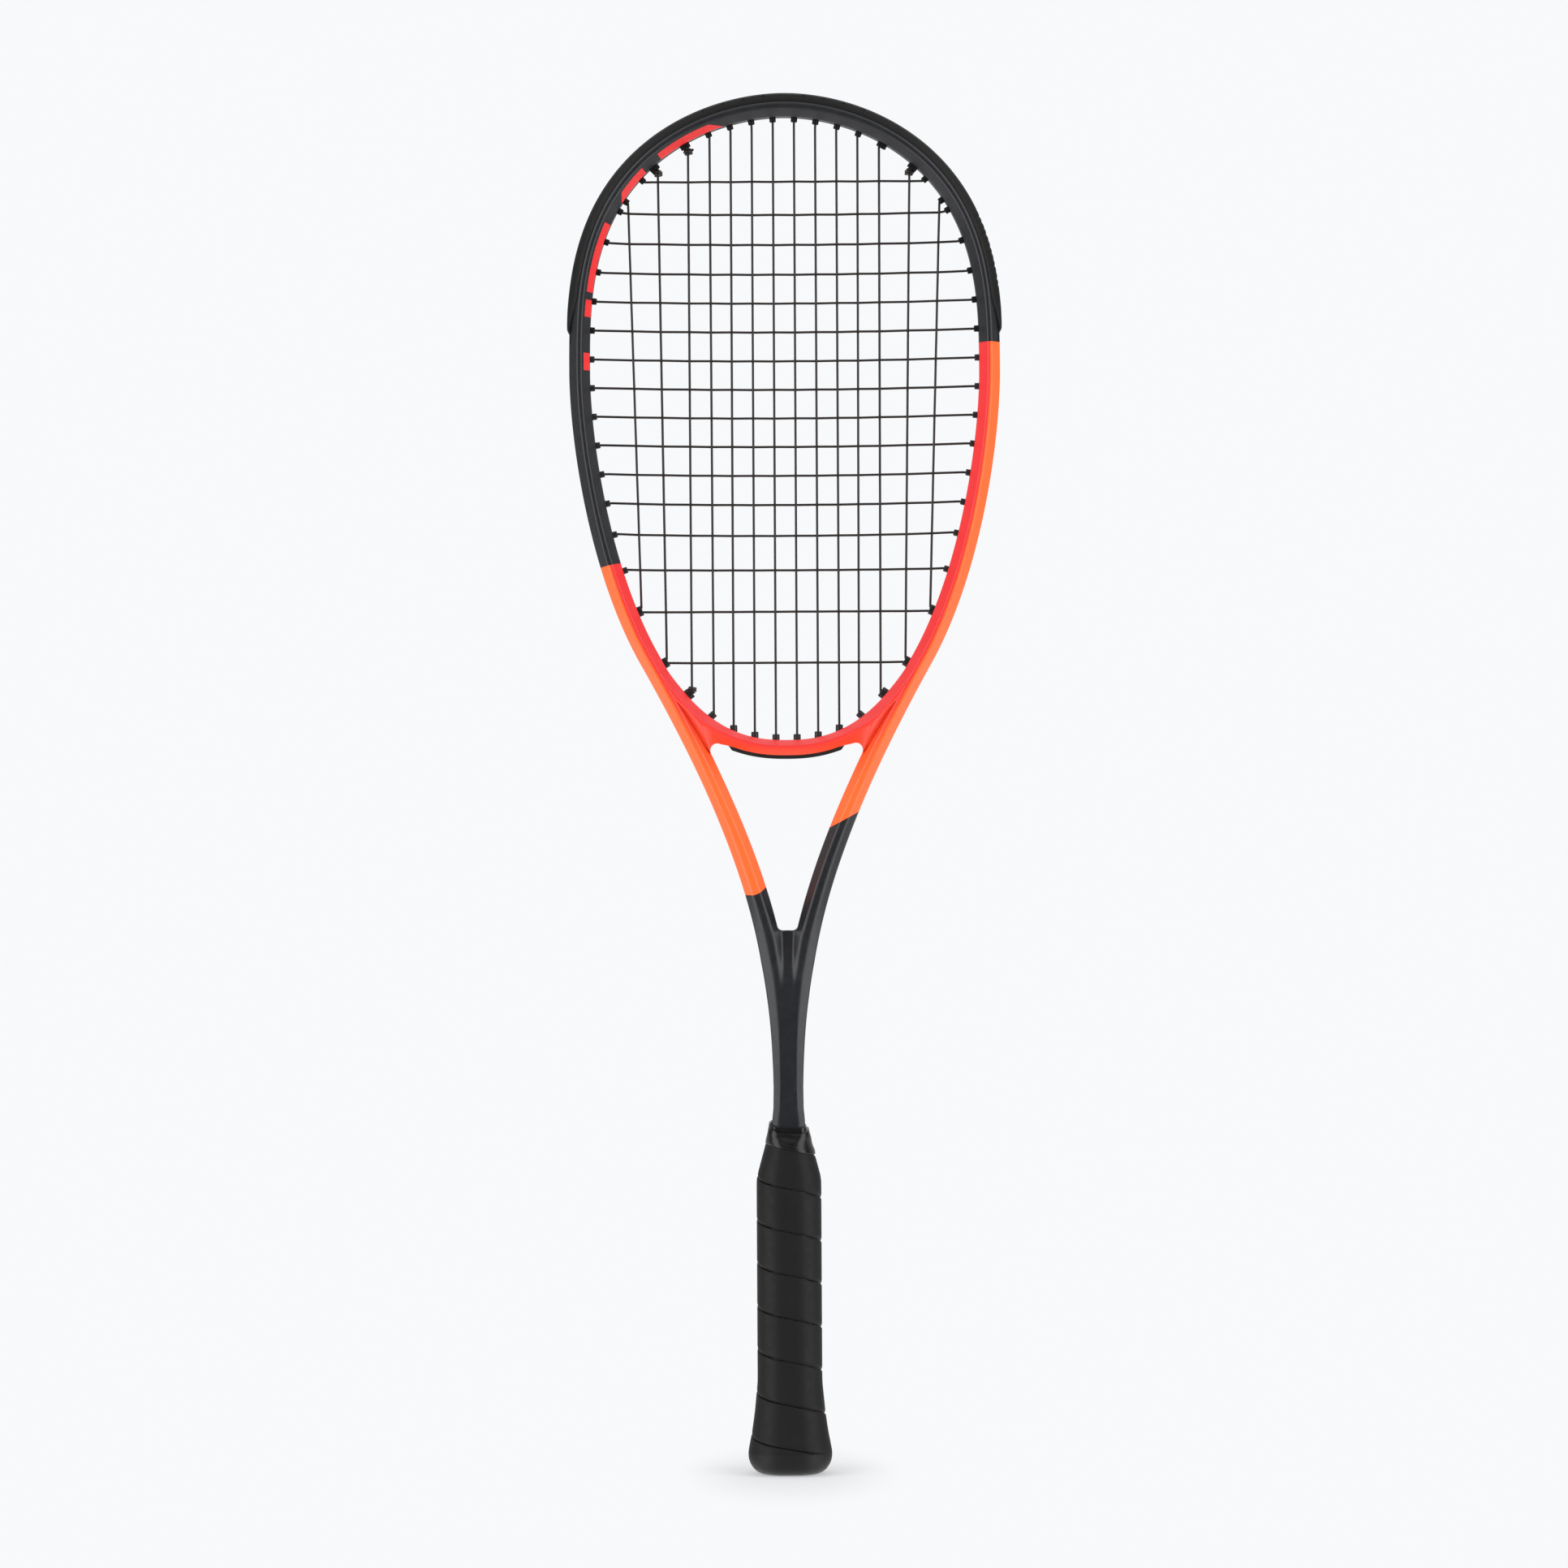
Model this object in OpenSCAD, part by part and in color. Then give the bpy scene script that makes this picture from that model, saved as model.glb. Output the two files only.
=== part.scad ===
// Squash racket with an open throat, as an assembly of separate parts.
// Millimetres. Z runs up the racket from the butt, X across the head and
// Y from front to back. The string bed lies in the plane y = 0.

/* [Overall] */
// Length from the butt to the top of the bumper
total_length = 686; // [682:1:688]
// Gap between pieces that are pressed or glued together
fit_gap = 0.1; // [0.05:0.05:0.15]

/* [Head] */
// Width of the string opening
opening_width = 193.6; // [190:0.2:197]
// Length of the string opening
opening_length = 309.6; // [306:0.2:313]
// Height of the widest place above the bottom of the opening
opening_waist = 182.3; // [180:0.1:185]
// Width of the hoop tube seen from the front
tube_width = 10.2; // [10:0.1:10.8]
// Front to back depth of the tube at the top of the head
tube_depth_top = 19; // [18:0.2:20]
// Front to back depth of the tube at the shoulders and arms
tube_depth = 20.6; // [20:0.2:22]
// Depth of the string groove round the outside
groove_depth = 2.4; // [2.3:0.1:2.7]

/* [Throat and shaft] */
// Height of the crotch between the arms
crotch_height = 270; // [267:1:273]
// Height where the curved arms become the straight shaft
shaft_top = 200; // [197:1:203]
// Width of the arm tube near the crotch
arm_width = 11; // [10.8:0.1:11.4]
// Width of the straight shaft
shaft_width = 14.1; // [13.8:0.1:15]
// Depth of the straight shaft
shaft_depth = 20; // [19:0.2:20.6]
// Thickness of the bridge at its middle
bridge_thickness = 7.7; // [7.2:0.1:8.4]
// Depth of the bridge from front to back
bridge_depth = 17.6; // [16:0.2:18.4]

/* [Bumper and grommets] */
// Thickness of the bumper over the tube
bumper_thickness = 1.5; // [1.3:0.1:1.7]
// Outside diameter of a grommet barrel
barrel_diameter = 3.2; // [3.1:0.1:3.4]
// Distance that a barrel stands into the string opening
barrel_reach = 2.3; // [2:0.1:2.6]
// Thickness of the rail that joins the barrels
rail_thickness = 1; // [0.9:0.05:1.1]

/* [Strings] */
// Diameter of the string
string_diameter = 1.2; // [1.1:0.05:1.25]
// Spacing of the middle eight main strings
main_pitch = 10.5; // [10.3:0.1:10.6]
// Typical spacing of the side main strings
side_pitch = 14.4; // [14:0.1:14.6]
// Distance from the top of the opening to the first cross string
cross_top_gap = 32; // [31:0.2:33]
// Distance from the last cross string to the bottom of the opening
cross_bottom_gap = 38.4; // [38:0.2:40]

/* [Handle] */
// Length of the handle up to the finishing tape
handle_length = 165; // [160:1:170]
// Width of the handle over the grip
grip_width = 32.2; // [31.6:0.2:33]
// Depth of the handle over the grip
grip_depth = 28; // [27.4:0.2:29]
// Thickness of the grip strip
grip_thickness = 1.7; // [1.5:0.1:1.9]
// Climb of the grip strip in one turn
grip_pitch = 21.4; // [20.6:0.2:22]
// Width of the butt end
butt_width = 41.6; // [41:0.2:43]
// Depth of the butt end
butt_depth = 36; // [35.4:0.2:37]
// Length of the finishing tape
tape_length = 11; // [9:0.5:12]

/* [Hidden] */
$fn = 32;

// Head outline, two half superellipses that share their widest place
half_open = opening_width / 2;
open_top = total_length - bumper_thickness - tube_width;
open_bottom = open_top - opening_length;
waist_z = open_bottom + opening_waist;
rise_up = open_top - waist_z;
rise_down = waist_z - open_bottom;
up_nx = 1.9;
up_nz = 2.95;
low_nx = 2.4;
low_nz = 1.68;

// Angle at which the arms leave the head outline
leave_angle = -53;

function unit(v) = v / max(norm(v), 1e-9);
function p3(q, y = 0) = [q[0], y, q[1]];
function mix(a, b, t) = a + (b - a) * t;

// Point of the opening at angle f, from -90 at the bottom to 90 at the top
function open_pt(f) = let(c = cos(f), s = abs(sin(f)))
    f >= 0
    ? [half_open * pow(c, 2 / up_nx), waist_z + rise_up * pow(s, 2 / up_nz)]
    : [half_open * pow(c, 2 / low_nx), waist_z - rise_down * pow(s, 2 / low_nz)];

// Outward normal of the opening at angle f
function open_n(f) = let(c = cos(f), s = abs(sin(f)))
    unit(f >= 0
    ? [up_nx / half_open * pow(c, 2 - 2 / up_nx), up_nz / rise_up * pow(s, 2 - 2 / up_nz)]
    : [low_nx / half_open * pow(c, 2 - 2 / low_nx), -low_nz / rise_down * pow(s, 2 - 2 / low_nz)]);

// Angles of a place on the outline given by its height or by its distance from the axis
function angle_at_z(z) = z >= waist_z
    ? asin(pow((z - waist_z) / rise_up, up_nz / 2))
    : -asin(pow((waist_z - z) / rise_down, low_nz / 2));
function angle_at_x_top(x) = acos(pow(x / half_open, up_nx / 2));
function angle_at_x_low(x) = -acos(pow(x / half_open, low_nx / 2));

// Stations along the right half of the tube, top of the head first
hoop_angles = concat([for (i = [0:18]) 90 - 4.5 * i], [6.75, 4.5, 2.25, 0],
    [for (i = [1:12]) leave_angle * i / 12]);
hoop_count = len(hoop_angles);
arm_steps = 16;

// Centre line of the arm, one cubic curve from the hoop to the shaft
arm_pull = 0.634;
shaft_pull = 0.205;
arm_0 = open_pt(leave_angle) + open_n(leave_angle) * tube_width / 2;
leave_z = arm_0[1];
arm_rise = leave_z - shaft_top;
arm_dir = let(n = open_n(leave_angle)) [n[1], -n[0]];
arm_1 = arm_0 + arm_dir * arm_rise * arm_pull;
arm_3 = [shaft_width / 4, shaft_top];
arm_2 = arm_3 + [0, arm_rise * shaft_pull];
function arm_pt(t) = arm_0 * pow(1 - t, 3) + arm_1 * 3 * t * pow(1 - t, 2)
    + arm_2 * 3 * t * t * (1 - t) + arm_3 * pow(t, 3);
function arm_dir_at(t) = unit((arm_1 - arm_0) * pow(1 - t, 2)
    + (arm_2 - arm_1) * 2 * t * (1 - t) + (arm_3 - arm_2) * t * t);
function arm_n(t) = let(d = arm_dir_at(t)) [-d[1], d[0]];

// Heights where the tube changes its section
web_drop = 32;
bulge_drop = 15;
bulge_rise = 20;
bulge = 0.75;
groove_fade = 14;
groove_drop = 22;
meet_z = crotch_height - web_drop;
arm_mid_z = mix(crotch_height + bulge_rise, leave_z, 0.48);
shoulder_z = mix(leave_z, waist_z, 0.58);
groove_end_z = open_bottom - groove_drop;
shaft_bottom = 14;
groove_half = 3;

// Section sizes of the tube at height z. The inner facet falls from the crest to
// the inner wall, and runs out level where the arms become one shaft.
function tube_w(z) = lookup(z, [[shaft_top, shaft_width / 2], [meet_z, arm_width],
    [crotch_height - bulge_drop, arm_width + bulge], [crotch_height + bulge_rise, arm_width],
    [arm_mid_z, tube_width]]);
function tube_h(z) = lookup(z, [[shaft_top, shaft_depth], [leave_z, tube_depth],
    [waist_z, tube_depth], [open_top, tube_depth_top]]);
function inner_fall(z) = lookup(z, [[shaft_top, 0.04], [meet_z, 0.35],
    [crotch_height, shaft_depth / 2 - 4.5], [leave_z, tube_depth / 2 - 3.6],
    [waist_z, tube_depth / 2 - 3.4], [open_top, tube_depth_top / 2 - 3.4]]);
function wall_out(z) = lookup(z, [[shaft_top, 5.6], [crotch_height, 5], [leave_z, 4.3]]);
function crest_in(z) = lookup(z, [[shaft_top, 0.9], [meet_z, 1.4], [crotch_height, 3.2], [leave_z, 3.9]]);
function crest_width(z) = lookup(z, [[shaft_top, 2.9], [crotch_height, 4.2], [arm_mid_z, 3],
    [shoulder_z, 1.7]]);
function groove_at(z) = lookup(z, [[groove_end_z - groove_fade, 0.02], [groove_end_z, groove_depth]]);

// One station: centre, normal, inner and outer reach, and height. Below the crotch
// the two arms end on each other at the middle plane.
function station(c, n) = let(z = c[1], w = tube_w(z))
    [c, n, z < crotch_height ? -min(w / 2, c[0] / n[0]) : -w / 2, w / 2, z];
stations = concat(
    [for (f = hoop_angles) station(open_pt(f) + open_n(f) * tube_width / 2, open_n(f))],
    [for (i = [1:arm_steps]) let(t = pow(i / arm_steps, 1.35)) station(arm_pt(t), arm_n(t))],
    [station([shaft_width / 4, shaft_bottom], [1, 0])]);

function station_at(p) = let(i = floor(p), t = p - i)
    t < 0.001 ? stations[i] : mix(stations[i], stations[i + 1], t);

// Half of the section from the groove floor round to the inner wall
function half_section(s) = let(z = s[4], ui = s[2], uo = s[3], h = tube_h(z) / 2, d = inner_fall(z),
    vo = wall_out(z), ci = ui + crest_in(z), co = min(ci + crest_width(z), uo - 1.6), g = groove_at(z))
    [[uo - g, groove_half - 0.3], [uo, groove_half], [uo, vo - 0.6], [uo - 0.7, vo + 0.9],
    [co + 0.55, h - 0.6], [co - 0.15, h], [ci + 0.15, h], [ci - 0.3, h - min(0.55, d * 0.35)],
    [ui + 0.45, h - d + min(0.7, d * 0.3)], [ui, h - d - min(0.6, d * 0.3)]];
function section_ring(s) = let(a = half_section(s), n = len(a))
    [for (q = concat(a, [for (i = [n - 1:-1:0]) [a[i][0], -a[i][1]]]))
    p3(s[0] + s[1] * q[0], q[1])];
// The end face is a convex body and the two lips beside the groove
section_cap = [[0, 4, 5, 6, 7, 8, 9, 10, 11, 12, 13, 14, 15, 19], [0, 1, 2, 3, 4], [19, 15, 16, 17, 18]];

// Closed skin through a list of rings with equal numbers of points
function skin(nr, np) = [for (i = [0:nr - 2]) for (j = [0:np - 1])
    let(k = (j + 1) % np, a = i * np + j, b = i * np + k)
    each [[a, b, b + np], [a, b + np, a + np]]];
function flip(list) = [for (f = list) [for (i = [len(f) - 1:-1:0]) f[i]]];
module sweep(rings, cap, inside_out = false) {
    nr = len(rings);
    np = len(rings[0]);
    last = [for (f = cap) [for (i = f) i + (nr - 1) * np]];
    all = concat(skin(nr, np), flip(cap), last);
    polyhedron([for (r = rings) each r], inside_out ? flip(all) : all, convexity = 10);
}
module both_sides() {
    children();
    mirror([1, 0, 0])
        children();
}
module tube(from, to) {
    sweep([for (i = [from:to]) section_ring(stations[i])], section_cap);
}

// Grommet holes: place on the opening, direction, length to the groove floor,
// position among the stations and half spacing of a double hole
single = 0;
double_half = 0.95;
function hoop_place(f) = f >= 9 ? (90 - f) / 4.5
    : f >= 0 ? 18 + (9 - f) / 2.25 : 22 + 12 * f / leave_angle;
function hoop_hole(f, kind) =
    [open_pt(f), open_n(f), tube_width - groove_depth, hoop_place(f), kind];
// The barrel tip, not the hole, stands on the line of the string
function hole_for_cross(z, kind = single) =
    hoop_hole(angle_at_z(z + barrel_reach * open_n(angle_at_z(z))[1]), kind);
function hole_for_main(x, kind = single) =
    hoop_hole(angle_at_x_top(x + barrel_reach * open_n(angle_at_x_top(x))[0]), kind);

// Holes of the fourth and fifth main strings run out through the arm
floor_curve = [for (s = stations) s[0] + s[1] * (s[3] - groove_at(s[4]))];
function side_of(p, d, q) = d[0] * (q[1] - p[1]) - d[1] * (q[0] - p[0]);
function arm_hit(p, d) = let(hits = [for (i = [hoop_count - 8:hoop_count + arm_steps - 3])
    let(a = side_of(p, d, floor_curve[i]), b = side_of(p, d, floor_curve[i + 1]))
    if (a * b <= 0 && a != b) i + a / (a - b)]) hits[0];
function arm_hole(x, kind) = let(f = angle_at_x_low(x + 1), p = open_pt(f),
    d = unit(open_n(f) + open_n(leave_angle)), k = arm_hit(p, d), i = floor(k),
    q = mix(floor_curve[i], floor_curve[i + 1], k - i))
    [p, d, norm(q - p), k, kind];

// Bridge: depth below the opening along the normal at angle f
wall_p = open_pt(leave_angle);
wall_n = open_n(leave_angle);
function to_wall(f) = ((wall_p - open_pt(f)) * wall_n) / (open_n(f) * wall_n);
flare_rise = 4.2;
flare_half = 40;
bridge_sink = 4;
function bridge_reach(f) = let(x = open_pt(f)[0])
    min(bridge_thickness + flare_rise * pow(x / flare_half, 2), to_wall(f) + bridge_sink);
function under_pt(f) = open_pt(f) + open_n(f) * bridge_reach(f);
under_angles = [for (i = [0:40]) i / 2 - 90];
under_line = [for (f = under_angles) under_pt(f)];
// The barrels of the throat strip stand upright, so that it goes in as one piece
function bridge_hole(x) = let(p = open_pt(angle_at_x_low(x)))
    [p, [0, -1], p[1] - lookup(x, under_line), 0, single];

// String positions
main_x = [main_pitch * 0.5, main_pitch * 1.5, main_pitch * 2.5, main_pitch * 3.5,
    main_pitch * 3.5 + side_pitch * 0.8, main_pitch * 3.5 + side_pitch * 1.84,
    main_pitch * 3.5 + side_pitch * 2.82];
cross_steps = [0, 1.14, 1.03, 1.02, 0.99, 0.99, 0.99, 0.98, 0.98, 0.98, 0.99, 1, 1.06, 1.18, 1.42, 1.75];
function total(v, n, i = 0) = i > n ? 0 : v[i] + total(v, n, i + 1);
cross_pitch = (opening_length - cross_top_gap - cross_bottom_gap) / total(cross_steps, 15);
cross_z = [for (j = [0:15]) open_top - cross_top_gap - cross_pitch * total(cross_steps, j)];

// The cross strings bow: their ends stand higher than their middle
cross_bow = [for (j = [0:15]) j == 0 || j > 13 ? 0 : j == 13 ? 0.7 : 1.4];
function cross_at(j, k) = cross_z[j] + cross_bow[j] * pow(main_x[k] / half_open, 2);

// Holes of the right half
main_top = [for (k = [0:6]) hole_for_main(main_x[k], k == 4 || k == 5 ? double_half : single)];
cross_end = [for (j = [0:15]) j < 14 ? hole_for_cross(cross_z[j] + cross_bow[j])
    : hole_for_cross(cross_z[j] + 1, double_half)];
main_low = [bridge_hole(main_x[0]), bridge_hole(main_x[1]), bridge_hole(main_x[2]),
    arm_hole(main_x[3], single), arm_hole(main_x[4], double_half), cross_end[15], cross_end[14]];

// The bumper carries the upper cross strings, the side strips the rest
bumper_crosses = 6;
bumper_holes = concat(main_top, [for (j = [0:bumper_crosses - 1]) cross_end[j]]);
strip_holes = concat([for (j = [bumper_crosses:15]) cross_end[j]], [main_low[3], main_low[4]]);
bridge_holes = [main_low[0], main_low[1], main_low[2]];

// A round or slotted prism along a hole, from a distance inside to one outside
module along(hole, from, to, radius) {
    translate(p3(hole[0] + hole[1] * from))
        rotate([0, atan2(hole[1][0], hole[1][1]), 0])
            linear_extrude(height = to - from) {
                if (hole[4] == single) {
                    circle(r = radius);
                } else {
                    translate([-hole[4], 0])
                        circle(r = radius);
                    translate([hole[4], 0])
                        circle(r = radius);
                    square([2 * hole[4], 2 * radius], center = true);
                }
            }
}
barrel_r = barrel_diameter / 2;
bore_r = string_diameter / 2 + 0.5;
drill_r = barrel_r + fit_gap;
module barrels(holes) {
    for (h = holes)
        along(h, -barrel_reach, h[2] + rail_thickness * 0.4, barrel_r);
}
module bores(holes) {
    for (h = holes)
        along(h, -barrel_reach - 1, h[2] + rail_thickness + 2, bore_r);
}
module drills(holes, past = 3) {
    for (h = holes)
        along(h, -2, h[2] + past, drill_r);
}

// Web that closes the crotch, with rounded corners under the throat
function inner_edge(i) = stations[i][0] + stations[i][1] * stations[i][2];
crotch_r = 3;
function edge_x(z) = let(v = [for (i = [hoop_count:hoop_count + arm_steps - 1]) inner_edge(i)])
    lookup(z, [for (q = v) [q[1], q[0]]]);
web_half = 6.2;
module web() {
    x = edge_x(crotch_height + crotch_r);
    rotate([90, 0, 0])
        linear_extrude(height = web_half * 2, center = true)
            difference() {
                polygon([[x + 2, crotch_height + crotch_r], [edge_x(meet_z + 8) + 3, meet_z],
                    [-edge_x(meet_z + 8) - 3, meet_z], [-x - 2, crotch_height + crotch_r]]);
                translate([crotch_r - x, crotch_height])
                    square([2 * (x - crotch_r), 3 * crotch_r]);
                for (s = [-1, 1])
                    translate([s * (x - crotch_r - 0.05), crotch_height + crotch_r])
                        circle(r = crotch_r);
            }
}

module frame() {
    last = len(stations) - 1;
    color([0.96, 0.36, 0.24])
        difference() {
            union() {
                both_sides()
                    tube(0, last);
                web();
            }
            both_sides() {
                drills(bumper_holes);
                drills(strip_holes, 5);
            }
        }
}

bridge_angles = [-58, -62, -66, -70, -72, -74, -75.5, -77, -78.5, -80, -82.5, -85, -87.5, -90];
bridge_wall = 3.8;
function bridge_ring(f, side) = let(p = open_pt(f), n = open_n(f), d = bridge_reach(f),
    h = bridge_depth / 2, half = [[0, bridge_wall], [0.9, bridge_wall + 1.6], [d * 0.4, h],
    [d * 0.62, h], [d - 0.7, bridge_wall + 1.4], [d, bridge_wall]])
    [for (q = concat(half, [for (i = [5:-1:0]) [half[i][0], -half[i][1]]]))
    let(c = p + n * q[0]) [side * c[0], q[1], c[1]]];
bridge_rings = concat([for (f = bridge_angles) bridge_ring(f, 1)],
    [for (i = [len(bridge_angles) - 2:-1:0]) bridge_ring(bridge_angles[i], -1)]);

// Fillet between the underside of the bridge and the arm
fillet_r = 3.5;
arm_side = arm_n(0.05);
function fillet_centre(f) = under_pt(f) + open_n(f) * fillet_r;
fillet_angle = lookup(fillet_r, [for (f = turned(under_angles)) let(c = fillet_centre(f))
    [(edge_x(c[1]) - c[0]) * arm_side[0], f]]);
module bridge_fillet() {
    c = fillet_centre(fillet_angle);
    n = open_n(fillet_angle);
    root = under_pt(fillet_angle) - n * 2;
    arm = c + arm_side * (fillet_r + 2);
    rotate([90, 0, 0])
        linear_extrude(height = 2 * bridge_wall, center = true)
            difference() {
                polygon([c, arm, root + [-n[1], n[0]] * 2 * fillet_r, root]);
                translate(c)
                    circle(r = fillet_r);
            }
}
module throat_bridge() {
    color([0.97, 0.42, 0.25])
        difference() {
            union() {
                sweep(bridge_rings, [[0, 1, 2, 3, 4, 5, 6, 7, 8, 9, 10, 11]], true);
                both_sides()
                    bridge_fillet();
            }
            both_sides() {
                tube(hoop_count - 4, hoop_count + 8);
                drills(bridge_holes);
                drills([main_low[3], main_low[4]]);
            }
        }
}

// Bumper section: how far the wing reaches over the outer facet and its thickness,
// by the height above the end of the bumper
bumper_end = (cross_end[bumper_crosses - 1][3] + cross_end[bumper_crosses][3]) / 2;
bumper_end_z = station_at(bumper_end)[4];
function wing(z) = lookup(z - bumper_end_z, [[0, 0.02], [8.4, 0.12], [15.6, 0.55], [21.8, 0.92], [33, 1]]);
function wing_t(z) = bumper_thickness * lookup(z - bumper_end_z, [[4, 0.16], [6.5, 0.75], [15.6, 1]]);
bumper_places = concat([for (i = [0:floor(bumper_end - 0.9)]) i], [bumper_end - 0.75, bumper_end - 0.45],
    [bumper_end]);
channel_wall = 0.8;
seat_gap = 0.05;
function bumper_half(s) = let(z = s[4], h = half_section(s), t = wing_t(z), lip = h[3],
    edge = mix(lip, mix(lip, h[4], 0.86), wing(z)), back = mix(edge, lip, 0.25),
    floor_u = h[0][0] + rail_thickness, run = channel_wall + 0.3, c = seat_gap)
    [[[floor_u, 0], [h[0][0] + c, 0]], [[floor_u, groove_half - run], h[0] + [c, -c]],
    [[h[1][0] + t * 0.7, groove_half - channel_wall], h[1] + [c, -c]],
    [[h[1][0] + t, groove_half], mix(h[1], h[2], 0.5) + [c, 0]], [h[2] + [t, 0.4], h[2] + [c, 0]],
    [lip + [t * 0.85, t * 0.45], lip + [c, c / 2]], [back + [t * 0.55, t * 0.3], back + [c, c / 2]],
    [edge + [0.2, 0.14], edge + [c, c / 2]]];
function bumper_ring(p, side) = let(s = station_at(p), b = bumper_half(s), n = len(b),
    outer = concat([for (k = [n - 1:-1:1]) [b[k][0][0], -b[k][0][1]]], [for (k = [0:n - 1]) b[k][0]]),
    inner = concat([for (k = [n - 1:-1:1]) [b[k][1][0], -b[k][1][1]]], [for (k = [0:n - 1]) b[k][1]]))
    [for (q = concat(outer, [for (k = [len(inner) - 1:-1:0]) inner[k]]))
    let(c = s[0] + s[1] * q[0]) [side * c[0], q[1], c[1]]];
bumper_points = 30;
bumper_cap = [for (k = [0:bumper_points / 2 - 2])
    [k, k + 1, bumper_points - 2 - k, bumper_points - 1 - k]];
module bumper_guard() {
    color([0.13, 0.13, 0.14])
        difference() {
            union() {
                sweep(concat([for (i = [len(bumper_places) - 1:-1:1]) bumper_ring(bumper_places[i], 1)],
                    [for (p = bumper_places) bumper_ring(p, -1)]), bumper_cap, true);
                both_sides()
                    barrels(bumper_holes);
            }
            both_sides()
                bores(bumper_holes);
        }
}

// Side strip: a rail in the groove from the bumper end down to the arm
strip_first = bumper_end + 0.03;
strip_last = ceil(main_low[3][3]) + 1;
strip_places = concat([strip_first], [for (i = [ceil(strip_first + 0.25):strip_last]) i]);
rail_half = groove_half - 0.5;
function rail_ring(p) = let(s = station_at(p), u = s[3] - groove_at(s[4]), t = rail_thickness, r = rail_half)
    [for (q = [[u, r], [u + t * 0.6, r], [u + t, r - 0.4], [u + t, 0.4 - r], [u + t * 0.6, -r], [u, -r]])
    p3(s[0] + s[1] * q[0], q[1])];
module grommet_strip() {
    difference() {
        union() {
            sweep([for (p = strip_places) rail_ring(p)], [[0, 1, 2, 3, 4, 5]], true);
            barrels(strip_holes);
        }
        bores(strip_holes);
    }
}
module grommet_strip_right() {
    color([0.13, 0.13, 0.14])
        grommet_strip();
}
module grommet_strip_left() {
    color([0.13, 0.13, 0.14])
        mirror([1, 0, 0])
            grommet_strip();
}

// Throat strip: a channel under the bridge that hides the loops
throat_end = lookup(main_x[2] + barrel_r + 0.9, [for (i = [0:40]) [under_line[i][0], under_angles[i]]]);
throat_angles = [throat_end, -80, -82.5, -85, -87.5, -90];
throat_half = bridge_wall - 0.5;
ridge = 2;
function throat_ring(f, side) = let(p = open_pt(f), n = open_n(f), d = bridge_reach(f),
    a = [[d, 0], [d, throat_half - 0.9], [d, throat_half]], e = d + rail_thickness * 0.8,
    b = [[e, 0], [e, throat_half - 0.9], [d + ridge, throat_half - 0.2]],
    top = concat([for (k = [2:-1:1]) [b[k][0], -b[k][1]]], b),
    low = concat([for (k = [2:-1:1]) [a[k][0], -a[k][1]]], a))
    [for (q = concat(top, [for (k = [4:-1:0]) low[k]]))
    let(c = p + n * q[0]) [side * c[0], q[1], c[1]]];
module grommet_strip_throat() {
    n = len(throat_angles);
    color([0.13, 0.13, 0.14])
        difference() {
            union() {
                sweep(concat([for (f = throat_angles) throat_ring(f, 1)],
                    [for (i = [n - 2:-1:0]) throat_ring(throat_angles[i], -1)]),
                    [for (k = [0:3]) [k, k + 1, 8 - k, 9 - k]]);
                both_sides()
                    barrels(bridge_holes);
            }
            both_sides()
                bores(bridge_holes);
        }
}

// Strings
string_r = string_diameter / 2;
weave = string_r + 0.06;
lie = rail_thickness + string_r + 0.08;
side_y = string_r + 0.35;
bore_y = 0.35;
function tangent_of(h) = [h[1][1], -h[1][0]];
function in_hole(h, d, off, y) = p3(h[0] + h[1] * d + tangent_of(h) * off, y);
// From the bed out through a hole to the groove. Where strings pass side by side
// in the groove the string steps aside as soon as it is out.
function way_out(h, off, y, crowded) = crowded
    ? [in_hole(h, -barrel_reach - 0.35, off, 0),
    in_hole(h, h[2] + rail_thickness - 0.1, off, sign(y) * bore_y), in_hole(h, h[2] + lie, off, y)]
    : [in_hole(h, -barrel_reach - 0.35, off, 0), in_hole(h, h[2] + lie, off, sign(y) * bore_y)];
function turned(v) = [for (i = [len(v) - 1:-1:0]) v[i]];
function mirrored(v) = [for (q = v) [-q[0], q[1], q[2]]];
// Points in the groove between two holes, or at least one point midway
function groove_pt(i, y) = let(s = stations[i])
    p3(s[0] + s[1] * (s[3] - groove_at(s[4]) + lie), y);
function groove_run(a, b, y) = let(lo = min(a[3], b[3]), hi = max(a[3], b[3]),
    mid = [for (i = [ceil(lo + 0.3):floor(hi - 0.3)]) groove_pt(i, y)],
    one = len(mid) > 0 ? mid : [(in_hole(a, a[2] + lie, 0, y) + in_hole(b, b[2] + lie, 0, y)) / 2])
    a[3] < b[3] ? one : turned(one);

main_off_top = [0, 0, 0, 0, -double_half, -double_half, 0];
main_off_low = [0, 0, 0, 0, double_half, -double_half, -double_half];
main_tip_top = [for (k = [0:6]) in_hole(main_top[k], -barrel_reach - 0.35, main_off_top[k], 0)];
main_tip_low = [for (k = [0:6]) in_hole(main_low[k], -barrel_reach - 0.35, main_off_low[k], 0)];
function main_at(k, z) = let(a = main_tip_low[k], b = main_tip_top[k])
    mix(a, b, (z - a[2]) / (b[2] - a[2]));
first_cross = [0, 0, 0, 0, 0, 0, 1];
last_cross = [15, 15, 15, 15, 15, 14, 13];
function over(k, j) = (k + j) % 2 == 0 ? weave : -weave;
// Main string k of the right half from the throat up
function main_line(k) = [for (j = [last_cross[k]:-1:first_cross[k]])
    let(q = main_at(k, cross_at(j, k))) [q[0], over(k, j), q[2]]];

// Loops below the bridge
function bridge_run(k) = let(f = angle_at_x_low((main_x[k] + main_x[k + 1]) / 2))
    [p3(open_pt(f) + open_n(f) * (bridge_reach(f) + lie), -side_y)];
centre_loop = [0, 0, open_bottom - bridge_thickness - lie];

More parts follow.
